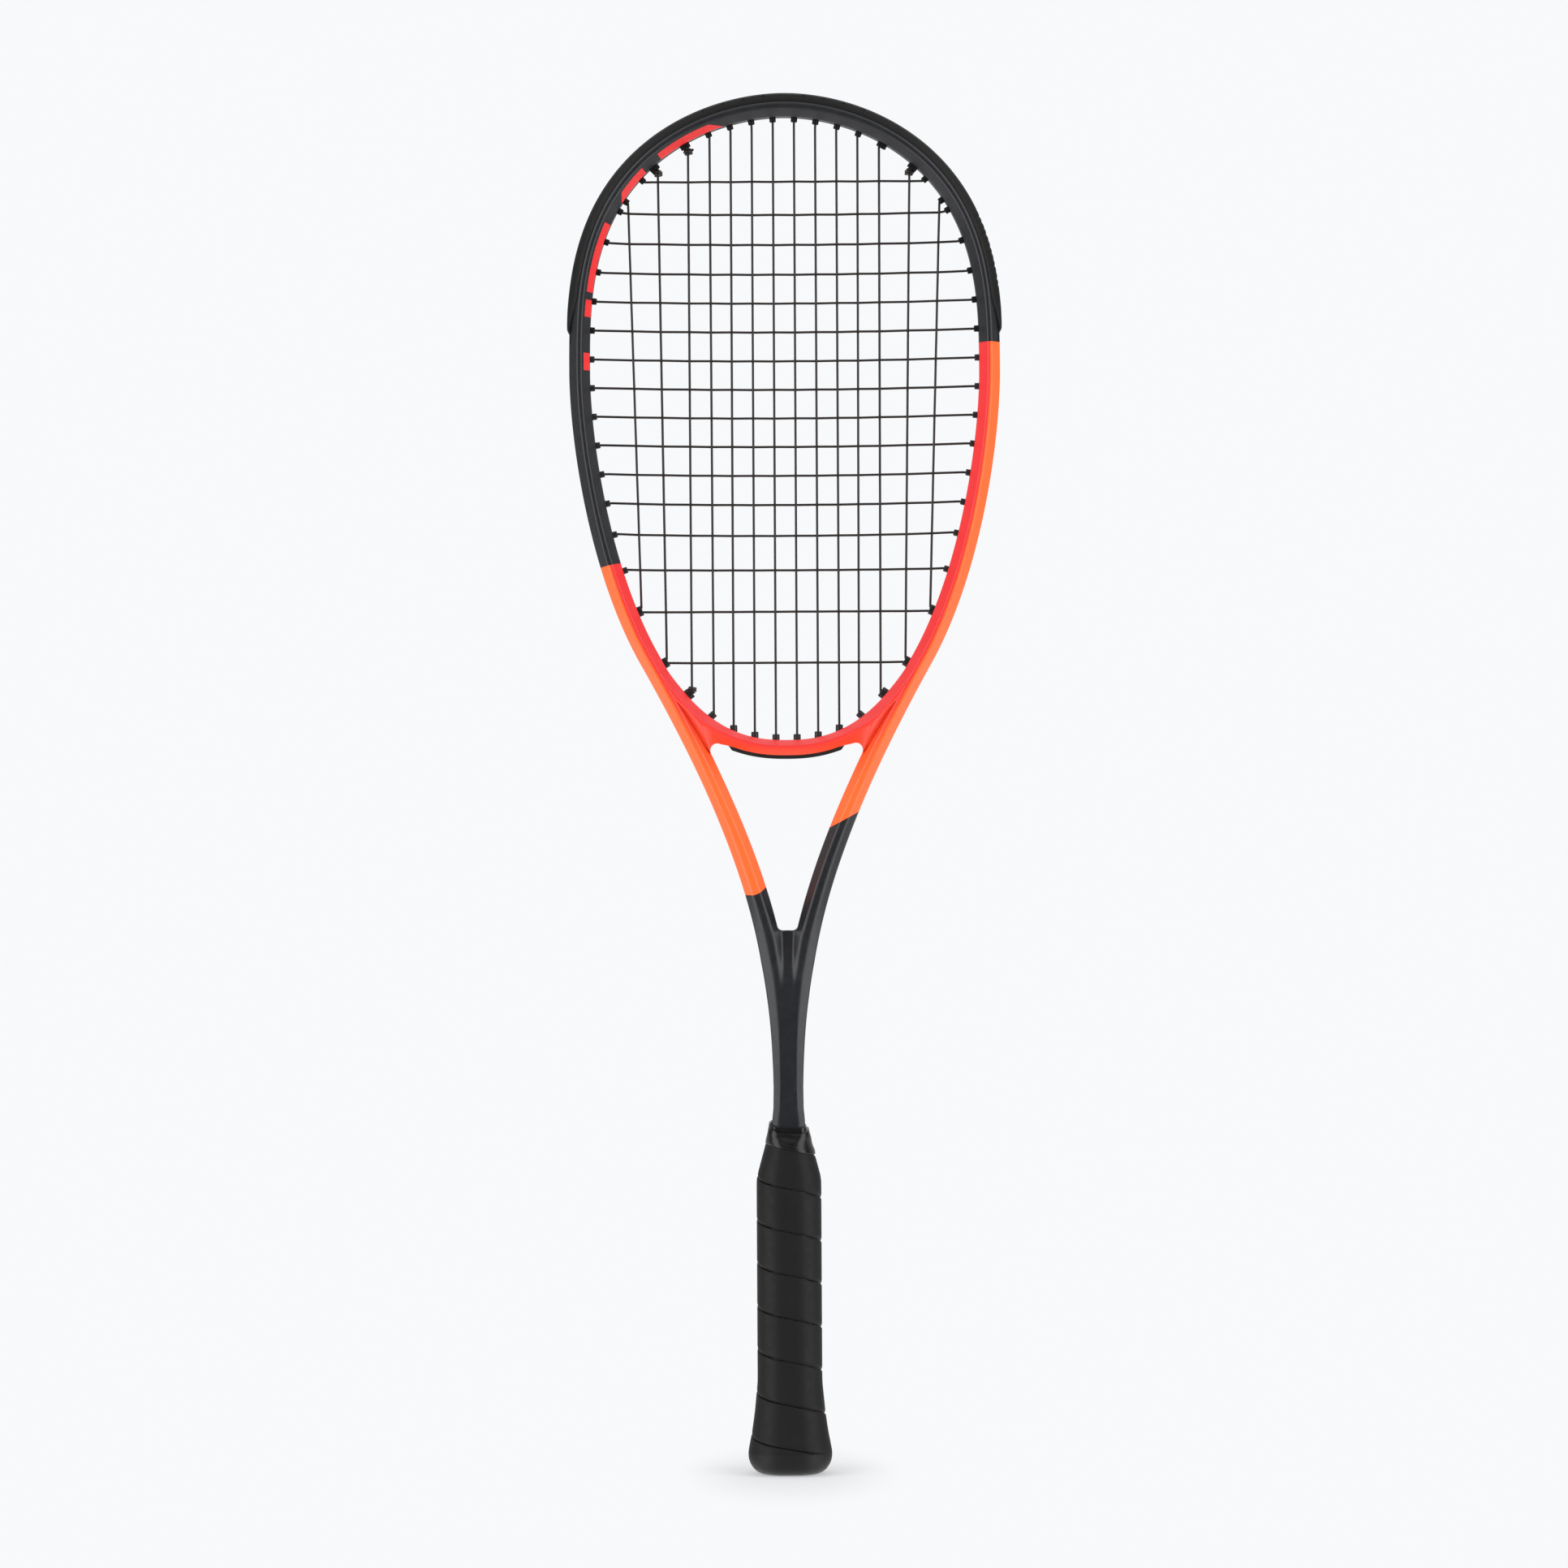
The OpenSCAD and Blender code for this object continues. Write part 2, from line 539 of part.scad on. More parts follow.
// Round turn of a string end about the string next to it, then the tail
knot_r = 2 * string_r + 0.5;
function knot(tip, axis, out, tail) = let(e = cross(axis, out), n = 7)
    concat([for (i = [0:n]) let(g = 450 * i / n) tip + axis * (1.3 + 1.4 * g / 360)
    + (out * cos(g) + e * sin(g)) * knot_r],
    [tip + axis * 3.7 + e * knot_r + tail]);

m_out = -side_y;
function up(k) = concat(turned(way_out(main_low[k], main_off_low[k], m_out, k > 3)), main_line(k),
    way_out(main_top[k], main_off_top[k], m_out, k > 3));
function down(k) = turned(up(k));
knot_axis = unit(main_at(5, cross_z[0]) - main_tip_top[5]);
main_right = concat(up(0), groove_run(main_top[0], main_top[1], m_out), down(1), bridge_run(1), up(2),
    groove_run(main_top[2], main_top[3], m_out), down(3), groove_run(main_low[3], main_low[4], m_out),
    up(4), groove_run(main_top[4], main_top[5], m_out), down(5),
    groove_run(main_low[5], main_low[6], m_out), up(6), groove_run(main_top[6], main_top[5], m_out),
    turned(way_out(main_top[5], double_half, m_out, true)),
    knot(main_tip_top[5], knot_axis, unit(cross(knot_axis, [0, 1, 0])), [-3.4, -0.6, -1.6]));
main_path = concat(turned([for (q = main_right) [-q[0], -q[1], q[2]]]), [centre_loop], main_right);

// Cross strings snake down from the upper left
function cross_off(j) = j < 14 ? 0 : double_half;
function cross_line(j) = let(last = [for (k = [0:6]) if (j >= first_cross[k] && j <= last_cross[k]) k],
    right = [for (k = last) let(z = cross_at(j, k)) [main_at(k, z)[0], -over(k, j), z]])
    concat([for (q = turned(right)) [-q[0], -q[1], q[2]]], right);
function crowded(j) = j == 0 || j > 13;
function left_out(h, off, y, c) = mirrored(way_out(h, off, y, c));
function cross_row(j) = let(row = concat(turned(left_out(cross_end[j], cross_off(j), -side_y, crowded(j))),
    cross_line(j), way_out(cross_end[j], cross_off(j), side_y, crowded(j)))) j % 2 == 0 ? row : turned(row);
function cross_loop(j) = j == 15 ? [] : j % 2 == 0
    ? groove_run(cross_end[j], cross_end[j + 1], side_y)
    : mirrored(groove_run(cross_end[j], cross_end[j + 1], -side_y));
low_axis = unit(main_at(4, cross_z[15]) - main_tip_low[4]);
top_axis = unit(main_at(4, cross_z[0]) - main_tip_top[4]);
start_knot = mirrored(knot(main_tip_top[4], top_axis, unit(cross(top_axis, [0, 1, 0])), [-1.4, -0.5, -0.2]));
end_knot = mirrored(knot(main_tip_low[4], low_axis, unit(cross([0, 1, 0], low_axis)), [-3.2, 0.6, 0.4]));
cross_path = concat(turned(start_knot), left_out(main_top[4], double_half, -side_y, true),
    mirrored(groove_run(main_top[4], cross_end[0], -side_y)),
    [for (j = [0:15]) each concat(cross_row(j), cross_loop(j))],
    mirrored(groove_run(cross_end[15], main_low[4], -side_y)),
    turned(left_out(main_low[4], -double_half, -side_y, true)), end_knot);

// Six sided rings along a path, carried from the middle to both ends without twist
function heading(v, i) = let(n = len(v))
    unit((i > 0 ? unit(v[i] - v[i - 1]) : [0, 0, 0]) + (i < n - 1 ? unit(v[i + 1] - v[i]) : [0, 0, 0]));
function square_to(r, t) = unit(r - t * (r * t));
function string_ring(v, i, r) = let(n = len(v), t = heading(v, i), s = cross(t, r),
    b = i > 0 && i < n - 1 ? unit(v[i + 1] - v[i]) - unit(v[i] - v[i - 1]) : [0, 0, 0],
    bend = norm(b), m = bend > 0.05 ? min(1.35, 1 / sqrt(1 - bend * bend / 4)) - 1 : 0, u = unit(b))
    [for (g = [0:60:300]) let(o = (r * cos(g) + s * sin(g)) * string_r) v[i] + o + u * (u * o) * m];
function string_rings(v) = let(n = len(v), mid = floor(n / 2), start = square_to([0, 1, 0], heading(v, mid)),
    fore = [for (i = mid, r = start; i < n; i = i + 1, r = i < n ? square_to(r, heading(v, i)) : r)
    string_ring(v, i, r)],
    back = [for (i = mid - 1, r = square_to(start, heading(v, mid - 1)); i >= 0;
    i = i - 1, r = i >= 0 ? square_to(r, heading(v, i)) : r) string_ring(v, i, r)])
    concat(turned(back), fore);
module string_tube(v) {
    sweep(string_rings(v), [[0, 1, 2, 3, 4, 5]], true);
}
module main_string() {
    color([0.2, 0.17, 0.16])
        string_tube(main_path);
}
module cross_string() {
    color([0.23, 0.19, 0.18])
        string_tube(cross_path);
}

// Handle: an eight sided core, the corners in order round the axis
core_x = grip_width / 2 - grip_thickness;
core_y = grip_depth / 2 - grip_thickness;
core_low = 8;
core_top = handle_length;
function eight(hx, hy, z) = let(fx = hx * 0.52, fy = hy * 0.46)
    [[hx, -fy, z], [hx, fy, z], [fx, hy, z], [-fx, hy, z], [-hx, fy, z], [-hx, -fy, z],
    [-fx, -hy, z], [fx, -hy, z]];
// The same with each corner cut back by c
function eased(hx, hy, z, c) = let(v = eight(hx, hy, z)) [for (i = [0:7])
    each [v[i] + unit(v[(i + 7) % 8] - v[i]) * c, v[i] + unit(v[(i + 1) % 8] - v[i]) * c]];
sixteen_cap = [[for (i = [0:15]) i]];
core_ease = 0.6;
core_wall = 2;
taper_length = 24;
// A long soft shoulder that runs out straight to the shaft
function core_size(z) = let(t = min(1, max(0, (core_top - z) / taper_length)),
    k = sin(90 * t) * 0.7 + t * 0.3)
    [mix(shaft_width / 2 + core_wall, core_x, k), mix(shaft_depth / 2 + core_wall, core_y, k)];
core_levels = concat([core_low], [for (i = [0:6]) core_top - taper_length * (1 - i / 6)]);
eight_cap = [[0, 1, 2, 3, 4, 5, 6, 7]];
shaft_outline = let(h = half_section(stations[len(stations) - 1]), c = shaft_width / 4,
    q = [for (i = [1:7]) [c + h[i][0], h[i][1]]])
    concat(q, [for (i = [6:-1:0]) [-q[i][0], q[i][1]]], [for (i = [0:6]) [-q[i][0], -q[i][1]]],
    [for (i = [6:-1:0]) [q[i][0], -q[i][1]]]);
module shaft_space(from, to) {
    translate([0, 0, from])
        linear_extrude(height = to - from)
            scale([1 + 2 * fit_gap / shaft_width, 1 + 2 * fit_gap / shaft_depth])
                polygon(shaft_outline);
}
module handle_core() {
    color([0.35, 0.35, 0.36])
        difference() {
            sweep([for (z = core_levels) let(s = core_size(z)) eased(s[0], s[1], z, core_ease)],
                sixteen_cap, true);
            shaft_space(shaft_bottom, core_top + 1);
            staples(fit_gap, 3);
        }
}

// Butt cap with a flat base, a lip and a flared skirt below the grip
lip_top = 11;
skirt_low = 23;
skirt_mid = 31;
skirt_top = 40;
function skirt_size(z) = let(k = lookup(z, [[lip_top, 1], [skirt_low, 0.58], [skirt_mid, 0.32],
    [skirt_top, 0.1]]))
    [mix(core_x, butt_width / 2 - grip_thickness, k), mix(core_y, butt_depth / 2 - grip_thickness, k)];
lip_round = [for (g = [0:15:90]) [cos(g), sin(g)]];
lip_radius = 8;
lip_ease = 3;
module butt_cap() {
    bx = butt_width / 2;
    by = butt_depth / 2;
    lip = [for (q = turned(lip_round)) eased(bx - lip_radius * (1 - q[0]), by - lip_radius * (1 - q[0]),
        lip_radius * (1 - q[1]), lip_ease)];
    skirt = [for (z = [lip_top, (lip_top + skirt_low) / 2, skirt_low, skirt_mid, skirt_top])
        let(s = skirt_size(z)) eased(s[0], s[1], z, core_ease)];
    color([0.1, 0.1, 0.11])
        difference() {
            sweep(concat(lip, [eased(bx, by, lip_top, lip_ease)], skirt), sixteen_cap, true);
            sweep([eight(core_x + fit_gap, core_y + fit_gap, core_low),
                eight(core_x + fit_gap, core_y + fit_gap, skirt_top + 1)], eight_cap, true);
            staples(fit_gap, 3);
        }
}

// Two staples hold the cap on the core, one in front and one behind
staple_width = 9;
staple_wire = 0.8;
staple_z = 30;
staple_leg = 2.2;
module staples(gap = 0, open = 0) {
    w = staple_wire + 2 * gap;
    crown = skirt_size(staple_z)[1] - staple_wire - 0.4;
    for (s = [0, 180])
        rotate(s)
            translate([0, 0, staple_z - w / 2]) {
                translate([-staple_width / 2 - gap, crown - gap, 0])
                    cube([staple_width + 2 * gap, w + open, w]);
                for (x = [-1, 1])
                    translate([x * (staple_width - staple_wire) / 2 - w / 2, crown - staple_leg - gap, 0])
                        cube([w, staple_leg + 2 * gap, w]);
            }
}
module cap_staples() {
    color([0.75, 0.75, 0.77])
        staples();
}

// Grip: one strip wound up the handle, edge beside edge
strip_gap = 0.5;
strip_width = grip_pitch - strip_gap;
grip_low = lip_top + 0.1;
grip_high = handle_length - 0.5;
strip_least = 1.2;
// The strip is cut level at both ends of the handle
grip_first = ceil((strip_least - strip_width) * 8 / grip_pitch);
grip_final = floor((grip_high - strip_least - grip_low) * 8 / grip_pitch);
function under_grip(z) = let(t = min(1, max(0, (z - skirt_top) / 4)))
    mix(skirt_size(z), core_size(z), t);
// The strip climbs from right to left on the front, and starts at this corner
grip_phase = 7;
function grip_corner(k, z, t) = let(s = under_grip(z), i = (grip_phase - k) % 8)
    eight(s[0] + t, s[1] + t, z)[i < 0 ? i + 8 : i];
function grip_ring(i) = let(z = grip_low + grip_pitch * i / 8, a = max(z, grip_low),
    b = min(z + strip_width, grip_high), m = [for (k = [0:3]) mix(a, b, k / 3)])
    concat([for (q = m) grip_corner(i, q, grip_seat)],
    [for (q = turned(m)) grip_corner(i, q, grip_thickness)]);
grip_seat = 0.15;
module grip_tape() {
    color([0.08, 0.08, 0.09])
        sweep([for (i = [grip_first:grip_final]) grip_ring(i)],
            [for (k = [0:2]) [k, k + 1, 6 - k, 7 - k]]);
}
// Least gap of the strip to its own next turn, and of string to string at a crossing
grip_gaps = [for (i = [grip_first:grip_final - 8]) let(a = grip_ring(i), b = grip_ring(i + 8))
    min([for (k = [3, 4]) for (j = [0, 7]) norm(a[k] - b[j])])];
echo(least_gap_of_the_grip_strip = min(grip_gaps));
string_gaps = [for (k = [0:6]) for (j = [first_cross[k]:last_cross[k]])
    abs(main_line(k)[last_cross[k] - j][1] + over(k, j)) - string_diameter];
echo(least_gap_at_a_crossing = min(string_gaps));

// Finishing tape over the top end of the grip and the shaft
tape_low = handle_length + 0.1;
module finishing_tape() {
    top = tape_low + tape_length;
    s = core_size(core_top);
    color([0.05, 0.05, 0.06])
        difference() {
            sweep([eight(s[0] + 1.9, s[1] + 1.7, tape_low), eight(s[0] + 1.2, s[1] + 1.2, tape_low + 3),
                eight(shaft_width / 2 + 0.9, shaft_depth / 2 + 0.9, top)], eight_cap, true);
            shaft_space(tape_low - 1, top + 1);
        }
}

frame();
throat_bridge();
bumper_guard();
grommet_strip_left();
grommet_strip_right();
grommet_strip_throat();
main_string();
cross_string();
handle_core();
butt_cap();
cap_staples();
grip_tape();
finishing_tape();
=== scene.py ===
"""Looks of an open-throat squash racket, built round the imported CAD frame.

Sizes are in millimetres and become metres when a mesh is made. Z runs up the racket from
the butt, X across the head, and the front looks towards -Y.
"""
import math
from collections import namedtuple

import bmesh
import bpy
import numpy as np
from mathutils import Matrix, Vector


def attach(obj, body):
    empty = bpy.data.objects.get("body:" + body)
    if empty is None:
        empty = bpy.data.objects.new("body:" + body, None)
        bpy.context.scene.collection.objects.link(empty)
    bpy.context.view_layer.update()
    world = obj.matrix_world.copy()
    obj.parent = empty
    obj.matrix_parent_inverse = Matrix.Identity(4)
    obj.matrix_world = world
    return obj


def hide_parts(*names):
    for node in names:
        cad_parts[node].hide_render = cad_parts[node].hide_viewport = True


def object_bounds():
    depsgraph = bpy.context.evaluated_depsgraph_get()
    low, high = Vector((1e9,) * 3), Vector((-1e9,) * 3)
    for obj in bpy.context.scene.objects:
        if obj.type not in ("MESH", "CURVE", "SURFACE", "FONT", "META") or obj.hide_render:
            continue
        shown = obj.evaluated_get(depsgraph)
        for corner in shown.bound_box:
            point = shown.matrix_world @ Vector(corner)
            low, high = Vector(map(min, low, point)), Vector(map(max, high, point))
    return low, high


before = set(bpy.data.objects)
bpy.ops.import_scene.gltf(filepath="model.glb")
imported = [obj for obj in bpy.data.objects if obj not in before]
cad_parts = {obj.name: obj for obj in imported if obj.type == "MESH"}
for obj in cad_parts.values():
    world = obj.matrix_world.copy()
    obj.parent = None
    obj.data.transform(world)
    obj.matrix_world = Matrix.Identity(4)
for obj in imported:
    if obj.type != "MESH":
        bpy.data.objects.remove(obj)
cad_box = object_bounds()
MM = 0.001
WELD = 0.0005
CORNER_STEPS = 4

# Head and tube
TOTAL_LENGTH = cad_box[1].z / MM
HALF_OPEN = 96.8
OPENING_LENGTH = 309.6
OPENING_WAIST = 182.3
TUBE_WIDTH = 10.2
TUBE_DEPTH_TOP = 19
TUBE_DEPTH = 20.6
GROOVE_DEPTH = 2.4
GROOVE_HALF = 3
BUMPER_THICKNESS = 1.5
OPEN_TOP = TOTAL_LENGTH - BUMPER_THICKNESS - TUBE_WIDTH
OPEN_BOTTOM = OPEN_TOP - OPENING_LENGTH
WAIST_Z = OPEN_BOTTOM + OPENING_WAIST
RISE_UP = OPEN_TOP - WAIST_Z
RISE_DOWN = WAIST_Z - OPEN_BOTTOM
UP_POWERS = (1.9, 2.95)
LOW_POWERS = (2.4, 1.68)
LEAVE_ANGLE = -53

# Arms, crotch and shaft
SHAFT_TOP = 200
SHAFT_BOTTOM = 14
SHAFT_WIDTH = 14.1
SHAFT_DEPTH = 20
FLARE_Z = 175.5
ARM_WIDTH = 11
ARM_PULL = 0.634
SHAFT_PULL = 0.205
CROTCH = 270
CROTCH_RADIUS = 3
CROTCH_REACH = CROTCH + 20
WEB_HALF = 6.2
WEB_DROP = 32

# Bridge, grommets and strings
BRIDGE_THICKNESS = 7.7
BRIDGE_DEPTH = 17.6
BRIDGE_EVEN = 22
BRIDGE_FLARE = 13
BRIDGE_FORK = -64.5
BRIDGE_TURN = 3.0
BRIDGE_SINK = 1.1
FILLET_RADIUS = 3.5
BARREL_RADIUS = 1.6
BARREL_REACH = 2.3
WIDE_BARREL = (1.8, 2.8)
BORE_RADIUS = 0.95
RAIL = 1.0
DOUBLE_HALF = 0.95
STRING_RADIUS = 0.6
MAIN_PITCH = 10.5
SIDE_PITCH = 14.4
CROSS_TOP_GAP = 32
CROSS_BOTTOM_GAP = 38.4
CROSS_STEPS = (0, 1.14, 1.03, 1.02, 0.99, 0.99, 0.99, 0.98, 0.98, 0.98, 0.99, 1, 1.06, 1.18, 1.42, 1.75)
BUMPER_CROSSES = 6

# Handle
HANDLE_LENGTH = 165
GRIP_WIDTH = 32.2
GRIP_DEPTH = 28
GRIP_PITCH = 21.4
BUTT_WIDTH = 41.6
BUTT_DEPTH = 36
LIP_TOP = 11
TAPER_LENGTH = 24
SHOULDER_HALF = 11.2
SHOULDER_SLOPE = 0.27


# Small helpers

def mix(a, b, t):
    return a + (b - a) * t


def smooth(t):
    """Soft step from 0 to 1."""
    t = np.clip(t, 0, 1)
    return t * t * (3 - 2 * t)


def soft_max(a, b, blend):
    """The larger of two values, with the change from one to the other rounded off."""
    t = np.clip(0.5 + (a - b) / (2 * blend), 0, 1)
    return mix(b, a, t) + blend * t * (1 - t)


def unit(v):
    v = np.asarray(v, float)
    return v / np.maximum(np.linalg.norm(v, axis=-1, keepdims=True), 1e-9)


def lookup(z, *pairs):
    """Straight lines through (height, value) pairs, level beyond both ends."""
    heights, values = zip(*pairs)
    return np.interp(z, heights, values)


def by_height(*pairs):
    return lambda z: lookup(z, *pairs)


def so_far(points):
    """Length along a polyline up to each of its points."""
    return np.concatenate([[0], np.cumsum(np.linalg.norm(np.diff(points, axis=0), axis=1))])


def p3(q, y=0.0):
    return np.array([q[0], y, q[1]])


# Sections. A section is rows of (distance out, depth) points, one row for each station.

def outline(count, *corners):
    """Open outlines from their corners. A plain number serves every row."""
    values = [np.broadcast_to(value, count) for corner in corners for value in corner]
    return np.stack(values, 1).reshape(count, -1, 2)


def rounded(corners, cuts, steps=CORNER_STEPS):
    """Rounds the inner corners of outlines. A cut is the length taken off the edges beside a corner."""
    here = corners[:, 1:-1]
    before = corners[:, :-2] - here
    after = corners[:, 2:] - here
    long_before = np.linalg.norm(before, axis=2, keepdims=True)
    long_after = np.linalg.norm(after, axis=2, keepdims=True)
    cut = np.minimum(np.asarray(cuts)[..., None], 0.45 * np.minimum(long_before, long_after))
    before = before / np.maximum(long_before, 1e-9) * cut
    after = after / np.maximum(long_after, 1e-9) * cut
    t = np.linspace(0, 1, steps)[:, None]
    arcs = here[:, :, None] + before[:, :, None] * (1 - t) ** 2 + after[:, :, None] * t ** 2
    return arcs.reshape(len(corners), -1, corners.shape[2])


def both_halves(front):
    """Closed section from its front half, which starts and ends at the middle plane."""
    return np.concatenate([front * [1, -1], front[:, ::-1]], 1)


def placed(section, origin, way):
    """Rings in space: each row of a section is set out from its origin along its way."""
    flat = origin[:, None] + way[:, None] * section[:, :, :1]
    return np.stack([flat[:, :, 0], section[:, :, 1], flat[:, :, 1]], 2)


# Meshes. A part is a pair of points and faces.

def grid_quads(rows, cols, close_rows=False):
    """Quads of rings of points that are numbered ring by ring."""
    r, c = np.meshgrid(np.arange(rows if close_rows else rows - 1), np.arange(cols), indexing="ij")
    r2 = (r + 1) % rows
    c2 = (c + 1) % cols
    quads = np.stack([r * cols + c, r * cols + c2, r2 * cols + c2, r2 * cols + c], -1)
    return quads.reshape(-1, 4)


def loft(rings, close_rows=False):
    """Skin through closed rings, with both ends capped."""
    rows, cols = rings.shape[:2]
    faces = grid_quads(rows, cols, close_rows).tolist()
    if not close_rows:
        faces.append(list(range(cols)))
        faces.append(list(range((rows - 1) * cols, rows * cols)))
    return rings.reshape(-1, 3), faces


def joined(parts):
    """Several parts as one."""
    points, faces, start = [], [], 0
    for part_points, part_faces in parts:
        points.append(np.asarray(part_points, float))
        faces += [[i + start for i in face] for face in part_faces]
        start += len(part_points)
    return np.concatenate(points), faces


def mirrored(part):
    points, faces = part
    return np.asarray(points) * [-1, 1, 1], [face[::-1] for face in faces]


def on_both_sides(parts):
    return [half for part in parts for half in (part, mirrored(part))]


def add_object(name, data):
    item = bpy.data.objects.new(name, data)
    bpy.context.scene.collection.objects.link(item)
    return item


def add_piece(name, part, node, slot, material, sharp=50, **attributes):
    """One piece of the racket: it rides on the body and stands for its CAD node."""
    points, faces = part
    mesh = bpy.data.meshes.new(name)
    mesh.from_pydata((np.asarray(points, float) * MM).tolist(), [], faces)
    for key, values in attributes.items():
        layer = mesh.attributes.new(key, "FLOAT", "POINT")
        layer.data.foreach_set("value", np.asarray(values, np.float32))
    bm = bmesh.new()
    bm.from_mesh(mesh)
    bmesh.ops.remove_doubles(bm, verts=bm.verts, dist=WELD * MM)
    bmesh.ops.recalc_face_normals(bm, faces=bm.faces)
    for face in bm.faces:
        face.smooth = True
    bm.to_mesh(mesh)
    bm.free()
    mesh.set_sharp_from_angle(angle=math.radians(sharp))
    mesh.materials.append(material)
    piece = add_object(name, mesh)
    weighted = piece.modifiers.new("even_facets", "WEIGHTED_NORMAL")
    weighted.keep_sharp = True
    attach(piece, "root")
    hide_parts(node)


# Head outline and centre line of the tube

def open_terms(f):
    """Cosine and sine of an angle, with the rise and the two powers of its half of the opening."""
    f = np.asarray(f, float)
    up = f >= 0
    c = np.abs(np.cos(np.radians(f)))
    s = np.abs(np.sin(np.radians(f)))
    rise = np.where(up, RISE_UP, -RISE_DOWN)
    px = np.where(up, UP_POWERS[0], LOW_POWERS[0])
    pz = np.where(up, UP_POWERS[1], LOW_POWERS[1])
    return c, s, rise, px, pz


def open_point(f):
    """Point of the string opening at angle f, from 90 at the top to -90 at the bottom."""
    c, s, rise, px, pz = open_terms(f)
    return np.stack([HALF_OPEN * c ** (2 / px), WAIST_Z + rise * s ** (2 / pz)], -1)


def open_normal(f):
    """Outward normal of the opening at angle f."""
    c, s, rise, px, pz = open_terms(f)
    return unit(np.stack([px / HALF_OPEN * c ** (2 - 2 / px), pz / rise * s ** (2 - 2 / pz)], -1))


def angle_at_z(z):
    if z >= WAIST_Z:
        return math.degrees(math.asin(((z - WAIST_Z) / RISE_UP) ** (UP_POWERS[1] / 2)))
    return -math.degrees(math.asin(((WAIST_Z - z) / RISE_DOWN) ** (LOW_POWERS[1] / 2)))


def angle_at_x(x, top):
    power = UP_POWERS[0] if top else LOW_POWERS[0]
    angle = math.degrees(math.acos((x / HALF_OPEN) ** (power / 2)))
    return angle if top else -angle


ARM_START = open_point(LEAVE_ANGLE) + open_normal(LEAVE_ANGLE) * TUBE_WIDTH / 2
LEAVE_Z = ARM_START[1]
ARM_RISE = LEAVE_Z - SHAFT_TOP
HOOP_STEPS = 6000
TOP_STEPS = 2000
ARM_STEPS = 2000
SHAFT_STEPS = 200
HOOP_ANGLES = np.linspace(90, LEAVE_ANGLE, HOOP_STEPS)

Line = namedtuple("Line", "points normals length run")


def centre_line():
    """Dense centre line of the right half, from the top of the head to the foot of the shaft."""
    hoop_n = open_normal(HOOP_ANGLES)
    hoop = open_point(HOOP_ANGLES) + hoop_n * TUBE_WIDTH / 2
    leave_n = open_normal(LEAVE_ANGLE)
    arm_end = np.array([SHAFT_WIDTH / 4, SHAFT_TOP])
    a = ARM_START
    b = ARM_START + np.array([leave_n[1], -leave_n[0]]) * ARM_RISE * ARM_PULL
    c = arm_end + np.array([0, ARM_RISE * SHAFT_PULL])
    d = arm_end
    t = np.linspace(0, 1, ARM_STEPS)[1:, None]
    arm = a * (1 - t) ** 3 + b * 3 * t * (1 - t) ** 2 + c * 3 * t ** 2 * (1 - t) + d * t ** 3
    way = unit((b - a) * (1 - t) ** 2 + (c - b) * 2 * t * (1 - t) + (d - c) * t ** 2)
    arm_n = np.stack([-way[:, 1], way[:, 0]], 1)
    down = np.linspace(SHAFT_TOP, SHAFT_BOTTOM, SHAFT_STEPS)[1:]
    shaft = np.stack([np.full_like(down, SHAFT_WIDTH / 4), down], 1)
    points = np.concatenate([hoop, arm, shaft])
    normals = np.concatenate([hoop_n, arm_n, np.tile([1.0, 0.0], (len(shaft), 1))])
    points[0, 0] = 0
    normals[0] = [0, 1]
    run = so_far(points - normals * TUBE_WIDTH / 2)
    return Line(points, normals, so_far(points), run)


LINE = centre_line()


def stations(length):
    """Centres and normals at lengths along the centre line."""
    centre = np.stack([np.interp(length, LINE.length, LINE.points[:, k]) for k in (0, 1)], -1)
    normal = np.stack([np.interp(length, LINE.length, LINE.normals[:, k]) for k in (0, 1)], -1)
    return centre, unit(normal)


def length_at_angle(f):
    return float(np.interp(-f, -HOOP_ANGLES, LINE.length[:HOOP_STEPS]))


def length_at_z(z):
    """Length along the lower part of the centre line, below the waist, at height z."""
    low = LINE.points[:, 1] < WAIST_Z
    return float(np.interp(-z, -LINE.points[low, 1], LINE.length[low]))


# Section of the tube, which changes with the height

MEET_Z = CROTCH - WEB_DROP
ARM_MID_Z = mix(CROTCH_REACH, LEAVE_Z, 0.48)
SHOULDER_Z = mix(LEAVE_Z, WAIST_Z, 0.58)
GROOVE_END_Z = OPEN_BOTTOM - 22


def tube_half_width(z):
    """Half width of the tube, with a small flare where the shaft goes into the handle."""
    shaft = SHAFT_WIDTH / 2
    return lookup(z, (FLARE_Z - 4, shaft), (FLARE_Z - 2, shaft + 2.3), (FLARE_Z, shaft + 2.2),
                  (FLARE_Z + 3, shaft + 1.6), (FLARE_Z + 6, shaft + 0.95), (FLARE_Z + 17, shaft + 0.65),
                  (SHAFT_TOP, shaft + 1.0), (MEET_Z, ARM_WIDTH), (CROTCH - 15, ARM_WIDTH + 0.75),
                  (CROTCH_REACH, ARM_WIDTH), (ARM_MID_Z, TUBE_WIDTH)) / 2


def tube_half_depth(z):
    return lookup(z, (SHAFT_TOP, SHAFT_DEPTH), (LEAVE_Z, TUBE_DEPTH), (WAIST_Z, TUBE_DEPTH),
                  (OPEN_TOP, TUBE_DEPTH_TOP)) / 2


# Fall of the inner facet from the crest to the inner wall
inner_fall = by_height((SHAFT_TOP, 0.04), (MEET_Z, 0.35), (CROTCH, 5.5), (LEAVE_Z, 6.7),
                       (WAIST_Z, 6.9), (OPEN_TOP, 6.1))
# Half height of the outer wall
wall_out = by_height((SHAFT_TOP, 8.7), (CROTCH, 6.8), (ARM_MID_Z, 5.2), (LEAVE_Z, 4.3))
